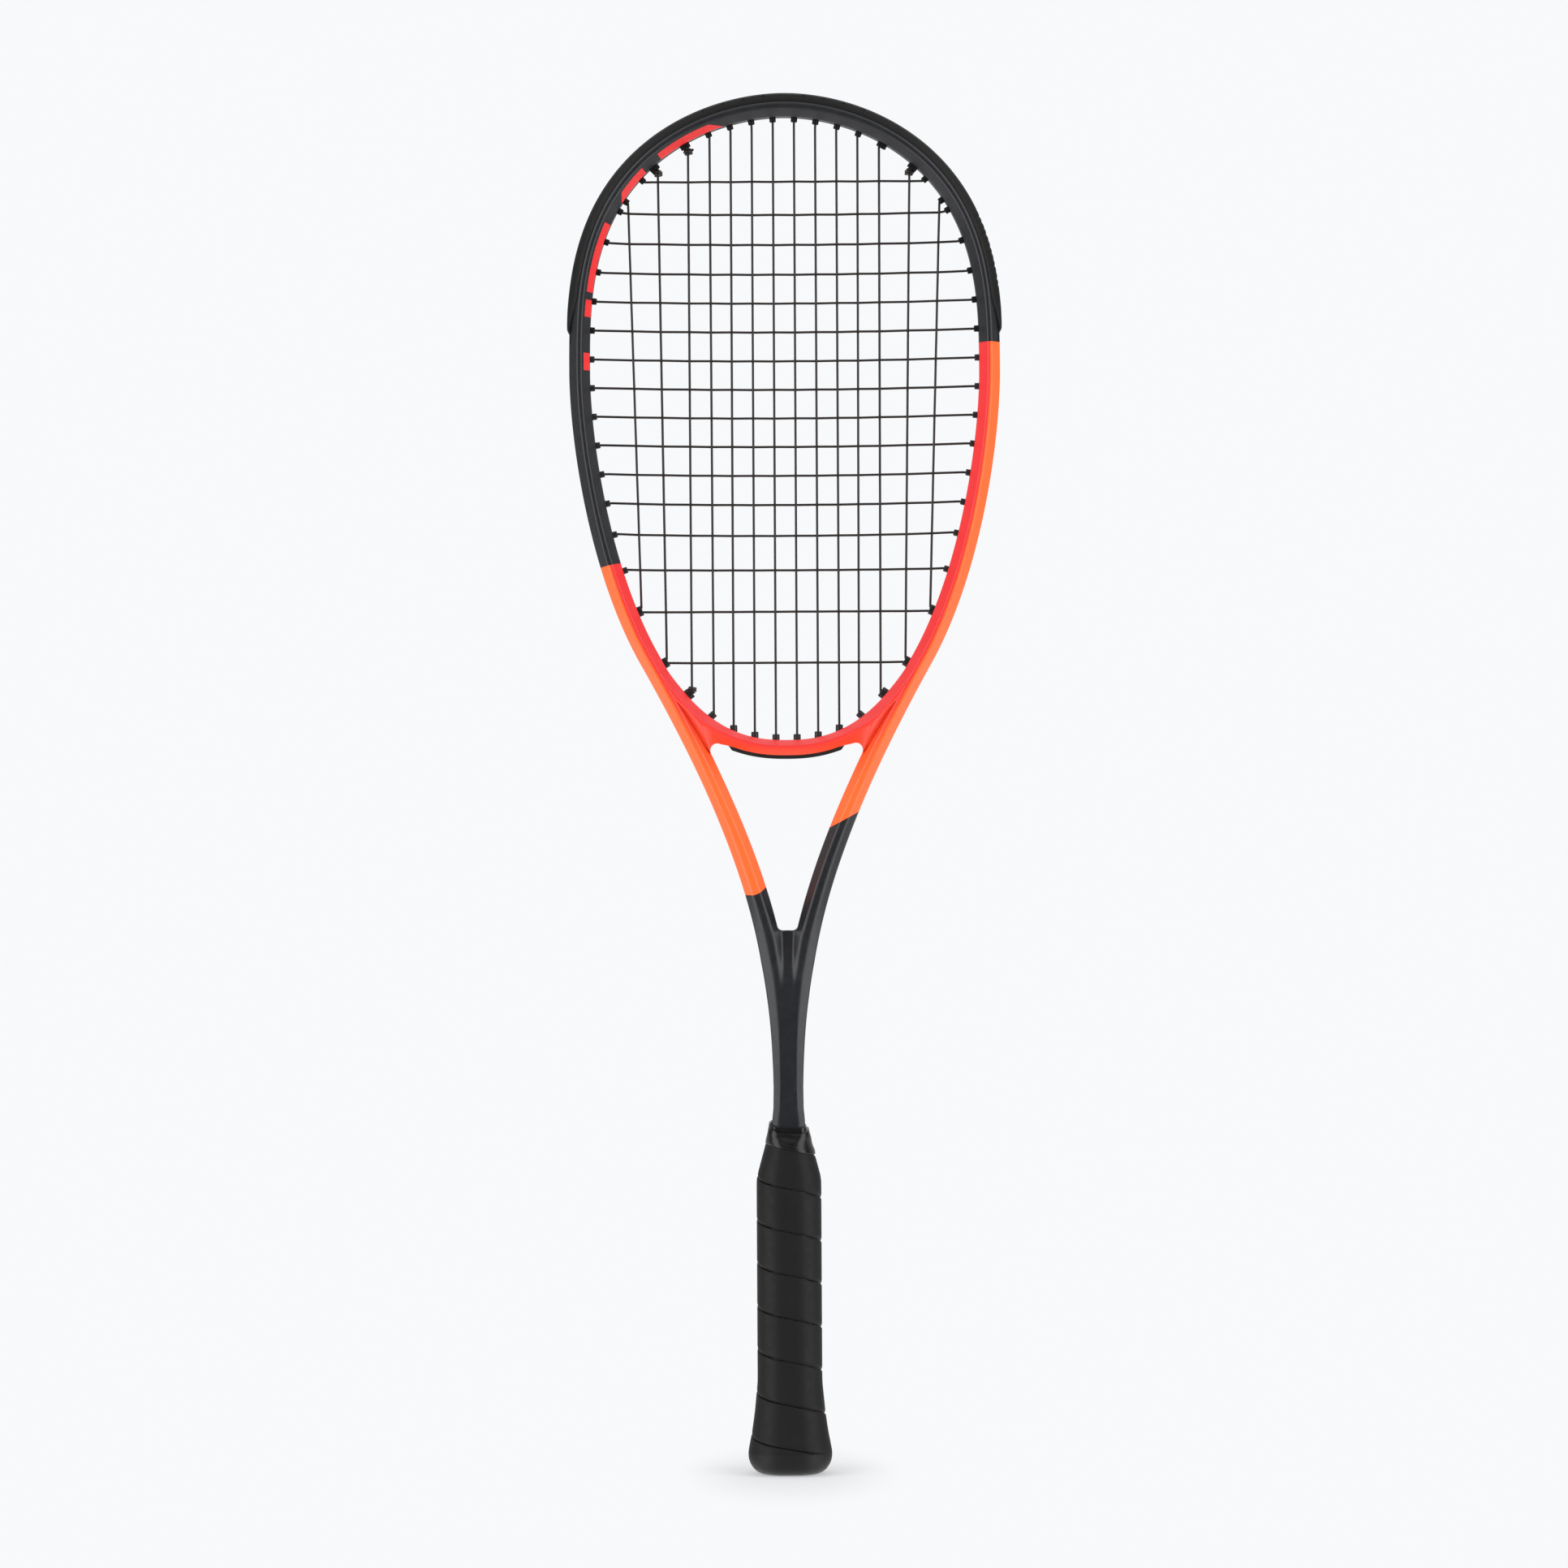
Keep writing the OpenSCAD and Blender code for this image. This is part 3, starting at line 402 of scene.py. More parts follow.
# Distance of the crest from the inner wall
crest_in = by_height((SHAFT_TOP, 0.9), (MEET_Z, 1.4), (CROTCH, 3.2), (LEAVE_Z, 3.9))
crest_width = by_height((SHAFT_TOP, 2.9), (CROTCH, 4.2), (ARM_MID_Z, 3), (SHOULDER_Z, 2))
# Least width of the facet between the crest and the outer wall
LEAST_FACET = 1.6
side_facet = by_height((FLARE_Z, 3.3), (SHAFT_TOP, 3.7), (CROTCH - 21, 4.9), (CROTCH, 4.4),
                       (ARM_MID_Z, LEAST_FACET))
# Distance from the middle plane to the crest beside the valley below the crotch
valley_crest = by_height((MEET_Z - 8, 3.2), (MEET_Z + 8, 4.2), (CROTCH - 16, 4.7), (CROTCH - 6, 5.3))
# Half width of the floor of the valley
valley_half = by_height((MEET_Z, 2.0), (CROTCH - 16, 2.4), (CROTCH, 3.1))
# Rounding between the outer wall and its facet
wall_ease = by_height((CROTCH, 0.7), (ARM_MID_Z, 1.5))
# Rounding of the two crest edges
crest_ease = by_height((CROTCH, 1.3), (LEAVE_Z, 0.8))
groove_at = by_height((GROOVE_END_Z - 14, 0.02), (GROOVE_END_Z, GROOVE_DEPTH))


# Frame: one tube, with the web that closes the crotch

NEAR = 1e-4
HOOP_STEP = 1.4
NOTCH_STEP = 0.3
WEB_STEP = 1.2
HIDDEN_ROWS = 30


def sideways(normal):
    """Share of X in a normal, kept away from zero."""
    return np.maximum(normal[:, 0], 0.05)


def meets_axis(centre, normal):
    """Distance to the middle plane along a station, and the height where it is reached."""
    reach = centre[:, 0] / sideways(normal)
    return reach, centre[:, 1] - reach * normal[:, 1]


def notch_edge(centre, normal, inner):
    """Inner end of each station: the arm's inner wall, the rounded notch or the middle plane."""
    reach, hit_z = meets_axis(centre, normal)
    edge_point = centre + normal * inner[:, None]
    near = np.argmin(np.abs(edge_point[:, 1] - CROTCH - CROTCH_RADIUS) + (edge_point[:, 0] > 20) * 1e3)
    corner = edge_point[near, 0] - CROTCH_RADIUS
    edge = inner.copy()
    for i in np.flatnonzero((centre[:, 1] < CROTCH_REACH) & (edge_point[:, 1] < CROTCH + CROTCH_RADIUS)):
        u = np.linspace(inner[i], -reach[i], 2001)
        x = centre[i, 0] + normal[i, 0] * u
        z = centre[i, 1] + normal[i, 1] * u
        into = np.clip(x - corner, 0, CROTCH_RADIUS)
        floor = CROTCH + CROTCH_RADIUS - np.sqrt(CROTCH_RADIUS ** 2 - into ** 2)
        empty = np.flatnonzero((z > floor + 1e-6) & (hit_z[i] > CROTCH + NEAR))
        edge[i] = u[empty[0]] if len(empty) else -reach[i]
    return edge, hit_z


def frame_lengths():
    """Lengths of the stations, close together round the notch of the crotch."""
    low = LINE.points[:, 1] < CROTCH_REACH
    _, hit_z = meets_axis(LINE.points[low], LINE.normals[low])
    notch = float(np.interp(-CROTCH, -hit_z, LINE.length[low]))
    above, below, hidden = (length_at_z(z) for z in (CROTCH + 18, CROTCH - 14, FLARE_Z - 5))
    near = np.arange(above, below, NOTCH_STEP)
    lengths = np.concatenate([
        np.arange(0, above, HOOP_STEP), near[np.abs(near - notch) > NOTCH_STEP / 2],
        np.arange(below, hidden, WEB_STEP), np.linspace(hidden, LINE.length[-1], HIDDEN_ROWS)])
    return np.unique(np.append(lengths, notch))


# A ring has the floor of the groove and seven corners on the front and on the back. Their bands:
# 1 and 2 edge of the groove, 3 outer wall, 4 and 5 crest, 6 foot of the inner facet, 7 inner edge.
BANDS = np.arange(1, 8)
RING_BANDS = np.concatenate([[0], np.repeat(BANDS, CORNER_STEPS), np.repeat(BANDS[::-1], CORNER_STEPS)])
INNER_EDGE = np.flatnonzero(RING_BANDS == 7)
MIDDLE_COLUMN = len(BANDS) * CORNER_STEPS


def frame_half():
    """Right half of the frame: its rings, their run along the rim, and which touch the left half."""
    lengths = frame_lengths()
    centre, normal = stations(lengths)
    z = centre[:, 1]
    half, depth, fall = tube_half_width(z), tube_half_depth(z), inner_fall(z)
    reach, _ = meets_axis(centre, normal)
    inner = np.where(z < CROTCH, -np.minimum(half, reach), -half)
    edge, hit_z = notch_edge(centre, normal, inner)
    touching = hit_z <= CROTCH + NEAR
    edge_z = (centre + normal * inner[:, None])[:, 1]
    web = 1 - smooth((edge_z - CROTCH - CROTCH_RADIUS + 1) / 12)
    floor = mix(WEB_HALF, depth - 0.03, smooth((CROTCH - hit_z) / WEB_DROP))
    foot = mix(depth - fall, np.maximum(floor, depth - fall), web)
    by_crotch = z < CROTCH_REACH
    valley = np.where(by_crotch, (valley_crest(z) - centre[:, 0]) / sideways(normal), -50)
    crest_a = soft_max(inner + crest_in(z), valley, 2.0)
    crest_b = np.maximum(np.minimum(crest_a + crest_width(z), half - side_facet(z)), crest_a + 0.2)
    valley_foot = np.minimum((valley_half(z) - centre[:, 0]) / sideways(normal), crest_a - 0.5)
    foot_u = np.maximum(np.where(by_crotch, valley_foot, edge), edge)
    edge_v = foot - mix(0.7, 2.0, web) * (1 - smooth((foot_u - edge) / 1.5))
    floor_u = half - groove_at(z)
    corners = outline(len(z), (floor_u, 0), (floor_u, GROOVE_HALF - 0.3), (half, GROOVE_HALF),
                      (half, wall_out(z)), (crest_b + 0.2, depth), (crest_a, depth), (foot_u, foot),
                      (edge, edge_v), (edge, -edge_v))
    crest_cut, foot_cut = crest_ease(z), mix(0.45, 1.0, web)
    cuts = np.stack(np.broadcast_arrays(0.25, 0.3, wall_ease(z), crest_cut, crest_cut, foot_cut,
                                        np.where(touching, 0, foot_cut)), 1)
    section = np.concatenate([corners[:, :1], both_halves(rounded(corners, cuts))], 1)
    rings = placed(section, centre, normal)
    rings[0, :, 0] = 0
    spots = np.ix_(touching, INNER_EDGE, [0])
    rings[spots] = np.where(np.abs(rings[spots]) < 0.01, 0, rings[spots])
    return rings, np.interp(lengths, LINE.length, LINE.run), touching


RED_FROM = 335
RED_RISE = 65


def tint_of(band, z):
    """Share of red in the paint: red on the inner facet, orange outside and down the arms."""
    return smooth(band - 4) * smooth((z - RED_FROM) / RED_RISE)


def build_frame(material):
    """Both halves of the frame, open to each other where they touch."""
    rings, run, touching = frame_half()
    rows, cols = rings.shape[:2]
    quads = grid_quads(rows, cols)
    row, col = quads[:, 0] // cols, quads[:, 0] % cols
    between = (col == MIDDLE_COLUMN) & touching[row] & touching[np.minimum(row + 1, rows - 1)]
    right = (rings.reshape(-1, 3), quads[~between].tolist())
    points, faces = joined([right, mirrored(right)])
    end = np.arange(cols) + (rows - 1) * cols
    faces += [end.tolist(), (end + rows * cols).tolist()[::-1]]
    band = np.tile(RING_BANDS, 2 * rows)
    along = np.repeat(run, cols)
    add_piece("frame_tube", (points, faces), "frame", "frame_lacquer", material, band=band,
              tint=tint_of(band, points[:, 2]), run=np.concatenate([along, -along]))


# Bridge between the arms

def to_wall(f):
    """Distance from the opening at angle f to the inner wall line of the arm."""
    wall_n = open_normal(LEAVE_ANGLE)
    return ((open_point(LEAVE_ANGLE) - open_point(f)) @ wall_n) / (open_normal(f) @ wall_n)


def bridge_reach(f):
    """Thickness of the bridge, even in the middle and growing to the fillets."""
    grow = np.maximum(0, open_point(f)[..., 0] / BRIDGE_EVEN - 1)
    return np.minimum(BRIDGE_THICKNESS + BRIDGE_FLARE * grow ** 2, to_wall(f) + 8)


def under_point(f):
    return open_point(f) + open_normal(f) * bridge_reach(f)[..., None]


FILLET_ANGLES = np.linspace(-82, -70, 481)
FILLET_STEPS = 30
UNDER_ANGLES = np.linspace(-90, -72, 200)
UNDER_LINE = under_point(UNDER_ANGLES)


def fillet():
    """Angle where the fillet leaves the underside, and its arc up to the arm."""
    arm = (LINE.points[:, 1] < LEAVE_Z) & (LINE.points[:, 1] > CROTCH_REACH)
    edge = LINE.points[arm] - LINE.normals[arm] * tube_half_width(LINE.points[arm, 1])[:, None]
    middle = under_point(FILLET_ANGLES) + open_normal(FILLET_ANGLES) * FILLET_RADIUS
    away = np.linalg.norm(middle[:, None] - edge[None], axis=2)
    k = int(np.flatnonzero(away.min(axis=1) <= FILLET_RADIUS)[0])
    start = -open_normal(FILLET_ANGLES[k])
    end = unit(edge[int(np.argmin(away[k]))] - middle[k])
    sweep = math.acos(float(start @ end))
    t = np.linspace(0, 1, FILLET_STEPS + 1)[1:, None]
    turned = (start * np.sin((1 - t) * sweep) + end * np.sin(t * sweep)) / math.sin(sweep)
    return FILLET_ANGLES[k], middle[k] + FILLET_RADIUS * turned


BRIDGE_EDGE = 3.6
BRIDGE_SLOPE = 6.7 / 3.9
BRIDGE_BANDS = np.array([6, 5, 4.5, 3])


def build_bridge(material):
    """Bridge: rows along the underside, a fan over the fillet, then rows that turn into the arm."""
    leave, arc = fillet()
    even = np.linspace(-90, leave, 70)
    t = np.linspace(0, 1, FILLET_STEPS + 1)[1:]
    fan = mix(leave, BRIDGE_FORK - 1.5, mix(t ** 2, t, 0.3))
    turning = np.linspace(fan[-1], BRIDGE_FORK + BRIDGE_TURN, 13)[1:]
    merged = np.linspace(turning[-1], LEAVE_ANGLE - 1, 7)[1:]
    f = np.concatenate([even, fan, turning, merged])
    turned = smooth((f - fan[-1]) / (turning[-1] - fan[-1]))
    upper, normal = open_point(f), open_normal(f)
    arc_end = np.tile(arc[-1], (len(turning) + len(merged), 1))
    inside = upper + normal * (to_wall(f) + 6)[:, None]
    lower = mix(np.concatenate([under_point(even), arc, arc_end]), inside, turned[:, None])
    upper[0, 0] = lower[0, 0] = 0
    way = unit(lower - upper)
    reach = np.linalg.norm(lower - upper, axis=1)
    skew = np.sum(way * normal, axis=1)
    sink = 0.35 * smooth((f + 63) / 8)
    crest = mix(BRIDGE_DEPTH / 2, TUBE_DEPTH / 2 - 0.05, smooth((f + 79) / 16)) - sink
    crest_u = (crest - BRIDGE_EDGE) / BRIDGE_SLOPE / skew + sink
    level = mix(1.2 / skew, np.maximum(to_wall(f) + 4.3 - crest_u, 0.6), turned)
    low_edge = mix(4.6, 6.2, smooth((f - leave) / (BRIDGE_FORK - leave)))
    corners = outline(len(f), (sink, 0), (sink, BRIDGE_EDGE), (crest_u, crest), (crest_u + level, crest),
                      (reach, low_edge), (reach, 0))
    rings = placed(both_halves(rounded(corners, [0.6, 0.7, 0.9, 0.9])), upper, way)
    rings = np.concatenate([rings[:0:-1], rings * [-1, 1, 1]])
    around = np.repeat(np.concatenate([BRIDGE_BANDS, BRIDGE_BANDS[::-1]]), CORNER_STEPS)
    tint = lookup(around, (3, 0.55), (4.5, 0.8), (5, 1))
    add_piece("throat_bridge_body", loft(rings), "throat_bridge", "frame_lacquer", material,
              band=np.tile(around, len(rings)), tint=np.tile(tint, len(rings)),
              run=np.zeros(len(rings) * len(around)))


# Grommet holes. place is the length along the centre line where a hole comes out.

Hole = namedtuple("Hole", "point axis depth place half")


def hoop_hole(f, half=0.0):
    return Hole(open_point(f), open_normal(f), TUBE_WIDTH - GROOVE_DEPTH, length_at_angle(f), half)


def hole_for_cross(z, half=0.0):
    return hoop_hole(angle_at_z(z + BARREL_REACH * open_normal(angle_at_z(z))[1]), half)


def hole_for_main(x, half=0.0):
    return hoop_hole(angle_at_x(x + BARREL_REACH * open_normal(angle_at_x(x, True))[0], True), half)


def arm_hole(x, half):
    """Hole that runs from the opening out through the arm."""
    f = angle_at_x(x + 1, False)
    start = open_point(f)
    axis = unit(open_normal(f) + open_normal(LEAVE_ANGLE))
    z = LINE.points[:, 1]
    floor = LINE.points + LINE.normals * (tube_half_width(z) - groove_at(z))[:, None]
    away = floor - start
    side = axis[0] * away[:, 1] - axis[1] * away[:, 0]
    low = np.flatnonzero((z < LEAVE_Z + 40) & (z > CROTCH))
    change = low[np.flatnonzero(np.diff(np.sign(side[low])))[0]]
    return Hole(start, axis, float(np.linalg.norm(floor[change] - start)), LINE.length[change], half)


def bridge_hole(x):
    """Upright hole through the bridge."""
    point = open_point(angle_at_x(x, False))
    depth = point[1] - np.interp(x, *UNDER_LINE.T) - BRIDGE_SINK
    return Hole(point, np.array([0.0, -1.0]), depth, 0.0, 0.0)


MAIN_X = [MAIN_PITCH * k for k in (0.5, 1.5, 2.5, 3.5)] + [
    MAIN_PITCH * 3.5 + SIDE_PITCH * k for k in (0.8, 1.84, 2.82)]
CROSS_PITCH = (OPENING_LENGTH - CROSS_TOP_GAP - CROSS_BOTTOM_GAP) / sum(CROSS_STEPS)
CROSS_Z = OPEN_TOP - CROSS_TOP_GAP - CROSS_PITCH * np.cumsum(CROSS_STEPS)
CROSS_BOW = [0] + [1.4] * 12 + [0.7, 0, 0]
MAIN_TOP = [hole_for_main(x, DOUBLE_HALF if k in (4, 5) else 0.0) for k, x in enumerate(MAIN_X)]
CROSS_END = [hole_for_cross(z + CROSS_BOW[j]) if j < 14 else hole_for_cross(z + 1, DOUBLE_HALF)
             for j, z in enumerate(CROSS_Z)]
MAIN_LOW = [bridge_hole(x) for x in MAIN_X[:3]] + [
    arm_hole(MAIN_X[3], 0.0), arm_hole(MAIN_X[4], DOUBLE_HALF), CROSS_END[15], CROSS_END[14]]
BUMPER_HOLES = MAIN_TOP + CROSS_END[:BUMPER_CROSSES]
STRIP_HOLES = CROSS_END[BUMPER_CROSSES:]
ARM_HOLES = MAIN_LOW[3:5]
BRIDGE_HOLES = MAIN_LOW[:3]
BUMPER_END = (CROSS_END[BUMPER_CROSSES - 1].place + CROSS_END[BUMPER_CROSSES].place) / 2


def barrel(hole, r=BARREL_RADIUS, reach=BARREL_REACH):
    """Grommet barrel with a rounded tip, its bore, and a low collar on the outside."""
    tip, out, bore = -reach, hole.depth + RAIL, BORE_RADIUS
    profile = [(tip + 0.3, bore), (tip + 0.04, bore + 0.12), (tip, bore + 0.3), (tip, r - 0.35),
               (tip + 0.1, r - 0.12), (tip + 0.35, r), (0.4, r + 0.05), (out - 0.2, r + 0.05),
               (out + 0.15, r - 0.1), (out + 0.25, r - 0.4), (out + 0.2, bore)]
    axis = p3(hole.axis)
    side = p3([hole.axis[1], -hole.axis[0]])
    turn = np.radians(np.arange(0, 360, 15) + 7.5)
    rings = []
    for depth, radius in profile:
        across = radius * np.cos(turn) + np.sign(np.cos(turn)) * hole.half
        rings.append(p3(hole.point) + axis * depth + np.outer(across, side)
                     + np.outer(radius * np.sin(turn), [0, 1, 0]))
    return loft(np.array(rings), close_rows=True)


# Bumper over the head

BUMPER_STEP = 0.7
PIP_PITCH = 9.5
SCUFF_RANGE = (586, 626)
SCUFF_DEPTH = 0.28


def scuffs(lengths, z):
    """Small worn notches on the outer edge at the upper right."""
    low, high = SCUFF_RANGE
    worn = smooth((z - low) / 3) * smooth((high - z) / 3)
    beat = np.maximum(0, np.sin(lengths * 2.05) + 0.35 * np.sin(lengths * 0.83))
    return SCUFF_DEPTH * worn * beat


def bumper_rings(lengths, side):
    """Rings of the bumper on one side: a rail in the groove, the outer wall and a wing over the facet."""
    centre, normal = stations(lengths)
    z = centre[:, 1]
    half, depth, wall = tube_half_width(z), tube_half_depth(z), wall_out(z)
    crest_b = np.minimum(-half + crest_in(z) + crest_width(z), half - LEAST_FACET)
    floor_u = half - GROOVE_DEPTH
    above = z - stations(np.array([BUMPER_END]))[0][0, 1]
    wing = lookup(above, (5, 0), (8.4, 0.12), (15.6, 0.55), (21.8, 0.92), (33, 1))
    t = BUMPER_THICKNESS * lookup(above, (4.6, -0.1), (5.4, 0.4), (6.6, 0.78), (9, 0.9), (15.6, 1))
    t = t - scuffs(lengths, z) * (side > 0)
    lip = np.array([half - 0.7, wall + 0.9])
    shoulder = np.array([crest_b + 0.55, depth - 0.6])
    edge = mix(lip, shoulder, 0.86 * wing)
    back = mix(edge, lip, 0.25)
    outer = outline(len(z), (floor_u + RAIL, 0), (floor_u + RAIL, 1.9), (half + 0.7 * t, 2.2),
                    (half + t, GROOVE_HALF), (half + t, wall - 0.2), lip + [0.85 * t, 0.45 * t],
                    back + [0.55 * t, 0.3 * t], edge + [[0.22], [0.16]])
    inner = outline(len(z), edge - 0.1, lip - 0.1, (half - 0.1, wall - 0.6), (half - 0.1, GROOVE_HALF),
                    (floor_u + 0.05, GROOVE_HALF - 0.4), (floor_u + 0.05, 0))
    arcs = rounded(outer, [0.25, 0.35, 0.35, 0.6, 0.6, 0.5])
    front = np.concatenate([outer[:, :1], arcs, outer[:, -1:], inner], 1) * [1, -1]
    section = np.concatenate([front, front[:, -2:0:-1] * [1, -1]], 1)
    return placed(section, centre, normal) * [side, 1, 1]


def bead(at, along, across, long, thick):
    """Closed egg-shaped bead."""
    third = np.cross(along, across)
    turn = np.radians(np.arange(0, 360, 36))
    around = np.outer(np.cos(turn), across) + np.outer(np.sin(turn), third)
    rings = [np.asarray(at) + np.asarray(along) * long * math.sin(g) + math.cos(g) * thick * around
             for g in np.radians(np.linspace(-80, 80, 7))]
    return loft(np.array(rings))


def pips():
    """Small moulded marks along the front and back of the bumper at the top of the head."""
    parts = []
    for x in np.arange(1, 5) * PIP_PITCH:
        length = np.interp(x, LINE.points[:TOP_STEPS, 0], LINE.length[:TOP_STEPS])
        centre, normal = stations(np.array([length]))
        along = np.array([normal[0, 1], 0, -normal[0, 0]])
        for face in (-1, 1):
            at = p3(centre[0] + normal[0] * (TUBE_WIDTH / 2 + 0.4), face * 6.0)
            parts.append(bead(at, along, [0, 1, 0], 0.95, 0.32))
    return parts


def build_bumper(material):
    lengths = np.append(np.arange(0, BUMPER_END, BUMPER_STEP), BUMPER_END)
    right = bumper_rings(lengths, 1)
    left = bumper_rings(lengths, -1)
    left[0] = right[0]
    shell = loft(np.concatenate([left[:0:-1], right]))
    fittings = pips() + [barrel(hole) for hole in BUMPER_HOLES]
    add_piece("bumper_shell", joined([shell] + on_both_sides(fittings)), "bumper_guard", "bumper_nylon",
              material)


# Grommet strips

def rail(first, last):
    """Rail in the groove between two lengths along the tube."""
    lengths = np.linspace(first, last, int((last - first) / 2))
    centre, normal = stations(lengths)
    z = centre[:, 1]
    u = tube_half_width(z) - groove_at(z)
    r = GROOVE_HALF - 0.45
    corners = outline(len(z), (u - 0.1, 0), (u - 0.1, r), (u + RAIL, r - 0.2), (u + RAIL, 0))
    return loft(placed(both_halves(rounded(corners, [0.05, 0.45])), centre, normal))


def build_side_strips(material):
    last = MAIN_LOW[3].place + 9
    right = joined([rail(BUMPER_END + 0.2, last)] + [barrel(hole) for hole in STRIP_HOLES]
                   + [barrel(hole, *WIDE_BARREL) for hole in ARM_HOLES])
    add_piece("grommet_rail_right", right, "grommet_strip_right", "grommet_nylon", material)
    add_piece("grommet_rail_left", mirrored(right), "grommet_strip_left", "grommet_nylon", material)


def build_throat_strip(material):
    """Channel under the bridge, with a ridge along the front and the back."""
    end = np.interp(MAIN_X[2] + BARREL_RADIUS + 0.9, UNDER_LINE[:, 0], UNDER_ANGLES)
    f = np.linspace(end, -90, 90)
    point, normal, reach = open_point(f), open_normal(f), bridge_reach(f)
    point[-1, 0] = 0
    normal[-1] = [0, -1]
    grown = smooth((point[0, 0] - point[:, 0]) / 2.4 + 0.1)
    base = reach + 0.05 + 0.35 * grown
    proud = reach + 0.1 + 1.65 * grown
    corners = outline(len(f), (base, 0), (base, 2.4), (proud, 2.9), (proud, 3.6), (reach - 0.4, 3.9),
                      (reach - 0.4, 0))
    rings = placed(both_halves(rounded(corners, [0.3, 0.3, 0.4, 0.1])), point, normal)
    strip = loft(np.concatenate([rings, (rings * [-1, 1, 1])[-2::-1]]))
    barrels = on_both_sides([barrel(hole, *WIDE_BARREL) for hole in BRIDGE_HOLES])
    add_piece("grommet_rail_throat", joined([strip] + barrels), "grommet_strip_throat", "grommet_nylon",
              material)


# Strings: one for the mains and one for the crosses

WEAVE = STRING_RADIUS + 0.1
LIE = RAIL + STRING_RADIUS + 0.08
SIDE_Y = STRING_RADIUS + 0.35
BORE_Y = 0.35
TIP = -BARREL_REACH + 0.1
FIRST_CROSS = (0, 0, 0, 0, 0, 0, 1)
LAST_CROSS = (15, 15, 15, 15, 15, 14, 13)
OFF_TOP = (0, 0, 0, 0, -DOUBLE_HALF, -DOUBLE_HALF, 0)
OFF_LOW = (0, 0, 0, 0, DOUBLE_HALF, -DOUBLE_HALF, -DOUBLE_HALF)
MIRROR = [-1, 1, 1]
HALF_TURN = [-1, -1, 1]
KNOT_RADIUS = 1.15


def in_hole(hole, depth, off=0.0, y=0.0):
    tangent = np.array([hole.axis[1], -hole.axis[0]])
    return p3(hole.point + hole.axis * depth + tangent * off, y)


def way_out(hole, off, y=-SIDE_Y, crowded=True):
    """From the bed out through a hole to the groove."""
    aside = math.copysign(BORE_Y, y)
    if crowded:
        return [in_hole(hole, TIP, off), in_hole(hole, hole.depth + RAIL - 0.1, off, aside),
                in_hole(hole, hole.depth + LIE, off, y)]
    return [in_hole(hole, TIP, off), in_hole(hole, hole.depth + LIE, off, aside)]


def groove_run(a, b, y=-SIDE_Y):
    """Points in the groove between two holes."""
    count = max(1, int(abs(a.place - b.place) / 7))
    centre, normal = stations(np.linspace(a.place, b.place, count + 2)[1:-1])
    z = centre[:, 1]
    out = tube_half_width(z) - groove_at(z) + LIE
    return [p3(q, y) for q in centre + normal * out[:, None]]


def top_end(k):
    return in_hole(MAIN_TOP[k], TIP, OFF_TOP[k])


def low_end(k):
    return in_hole(MAIN_LOW[k], TIP, OFF_LOW[k])


def main_at(k, z):
    """Point of main string k of the right half at height z."""
    low, top = low_end(k), top_end(k)
    return mix(low, top, (z - low[2]) / (top[2] - low[2]))


def crossing(k, j, y):
    """Point where main k meets cross j. The ends of a cross string stand higher than its middle."""
    height = CROSS_Z[j] + CROSS_BOW[j] * (MAIN_X[k] / HALF_OPEN) ** 2
    return main_at(k, height) + [0, y, 0]


def over(k, j):
    return WEAVE if (k + j) % 2 == 0 else -WEAVE


def main_up(k):
    """Main string k of the right half, from the throat up."""
    bed = [crossing(k, j, over(k, j)) for j in range(LAST_CROSS[k], FIRST_CROSS[k] - 1, -1)]
    return (way_out(MAIN_LOW[k], OFF_LOW[k], crowded=k > 3)[::-1] + bed
            + way_out(MAIN_TOP[k], OFF_TOP[k], crowded=k > 3))


def under_bridge(k):
    f = angle_at_x((MAIN_X[k] + MAIN_X[k + 1]) / 2, False)
    return [p3(open_point(f) + open_normal(f) * (float(bridge_reach(f)) - BRIDGE_SINK + LIE), -SIDE_Y)]


def knot(tip, inner, tail):
    """Three turns of a string end round the string beside it, two turns back over them, and a tail."""
    axis = unit(inner - tip)
    out = unit(np.cross([0, math.copysign(1, axis[2]), 0], axis))
    side = np.cross(axis, out)

    def turn(angle, radius, height):
        g = math.radians(angle)
        return tip + axis * height + (out * math.cos(g) + side * math.sin(g)) * radius

    path = [turn(g, KNOT_RADIUS, 0.5 + g / 360) for g in range(0, 1081, 30)]
    path += [turn(1080 + g, KNOT_RADIUS + 0.75 * min(1, g / 90), 3.5 - 1.1 * g / 360)
             for g in range(30, 691, 30)]
    return path + [path[-1] + unit(tail) * 0.9, path[-1] + np.asarray(tail, float)]


def flipped(points, signs):
    return [np.asarray(q) * signs for q in points]


def main_path():
    """Main string: from the middle of the throat up and down each half, to a knot at the top."""
    right = []
    for k in range(7):
        rising = k % 2 == 0
        right += main_up(k) if rising else main_up(k)[::-1]
        if k == 1:
            right += under_bridge(k)
        elif k < 6:
            ends = MAIN_TOP if rising else MAIN_LOW
            right += groove_run(ends[k], ends[k + 1])
    right += groove_run(MAIN_TOP[6], MAIN_TOP[5])
    right += way_out(MAIN_TOP[5], DOUBLE_HALF)[::-1]
    right += knot(top_end(5), main_at(5, CROSS_Z[0]), [-3.6, -0.5, -1.8])
    centre = np.array([0, 0, OPEN_BOTTOM - BRIDGE_THICKNESS + BRIDGE_SINK - LIE])
    return flipped(right, HALF_TURN)[::-1] + [centre] + right


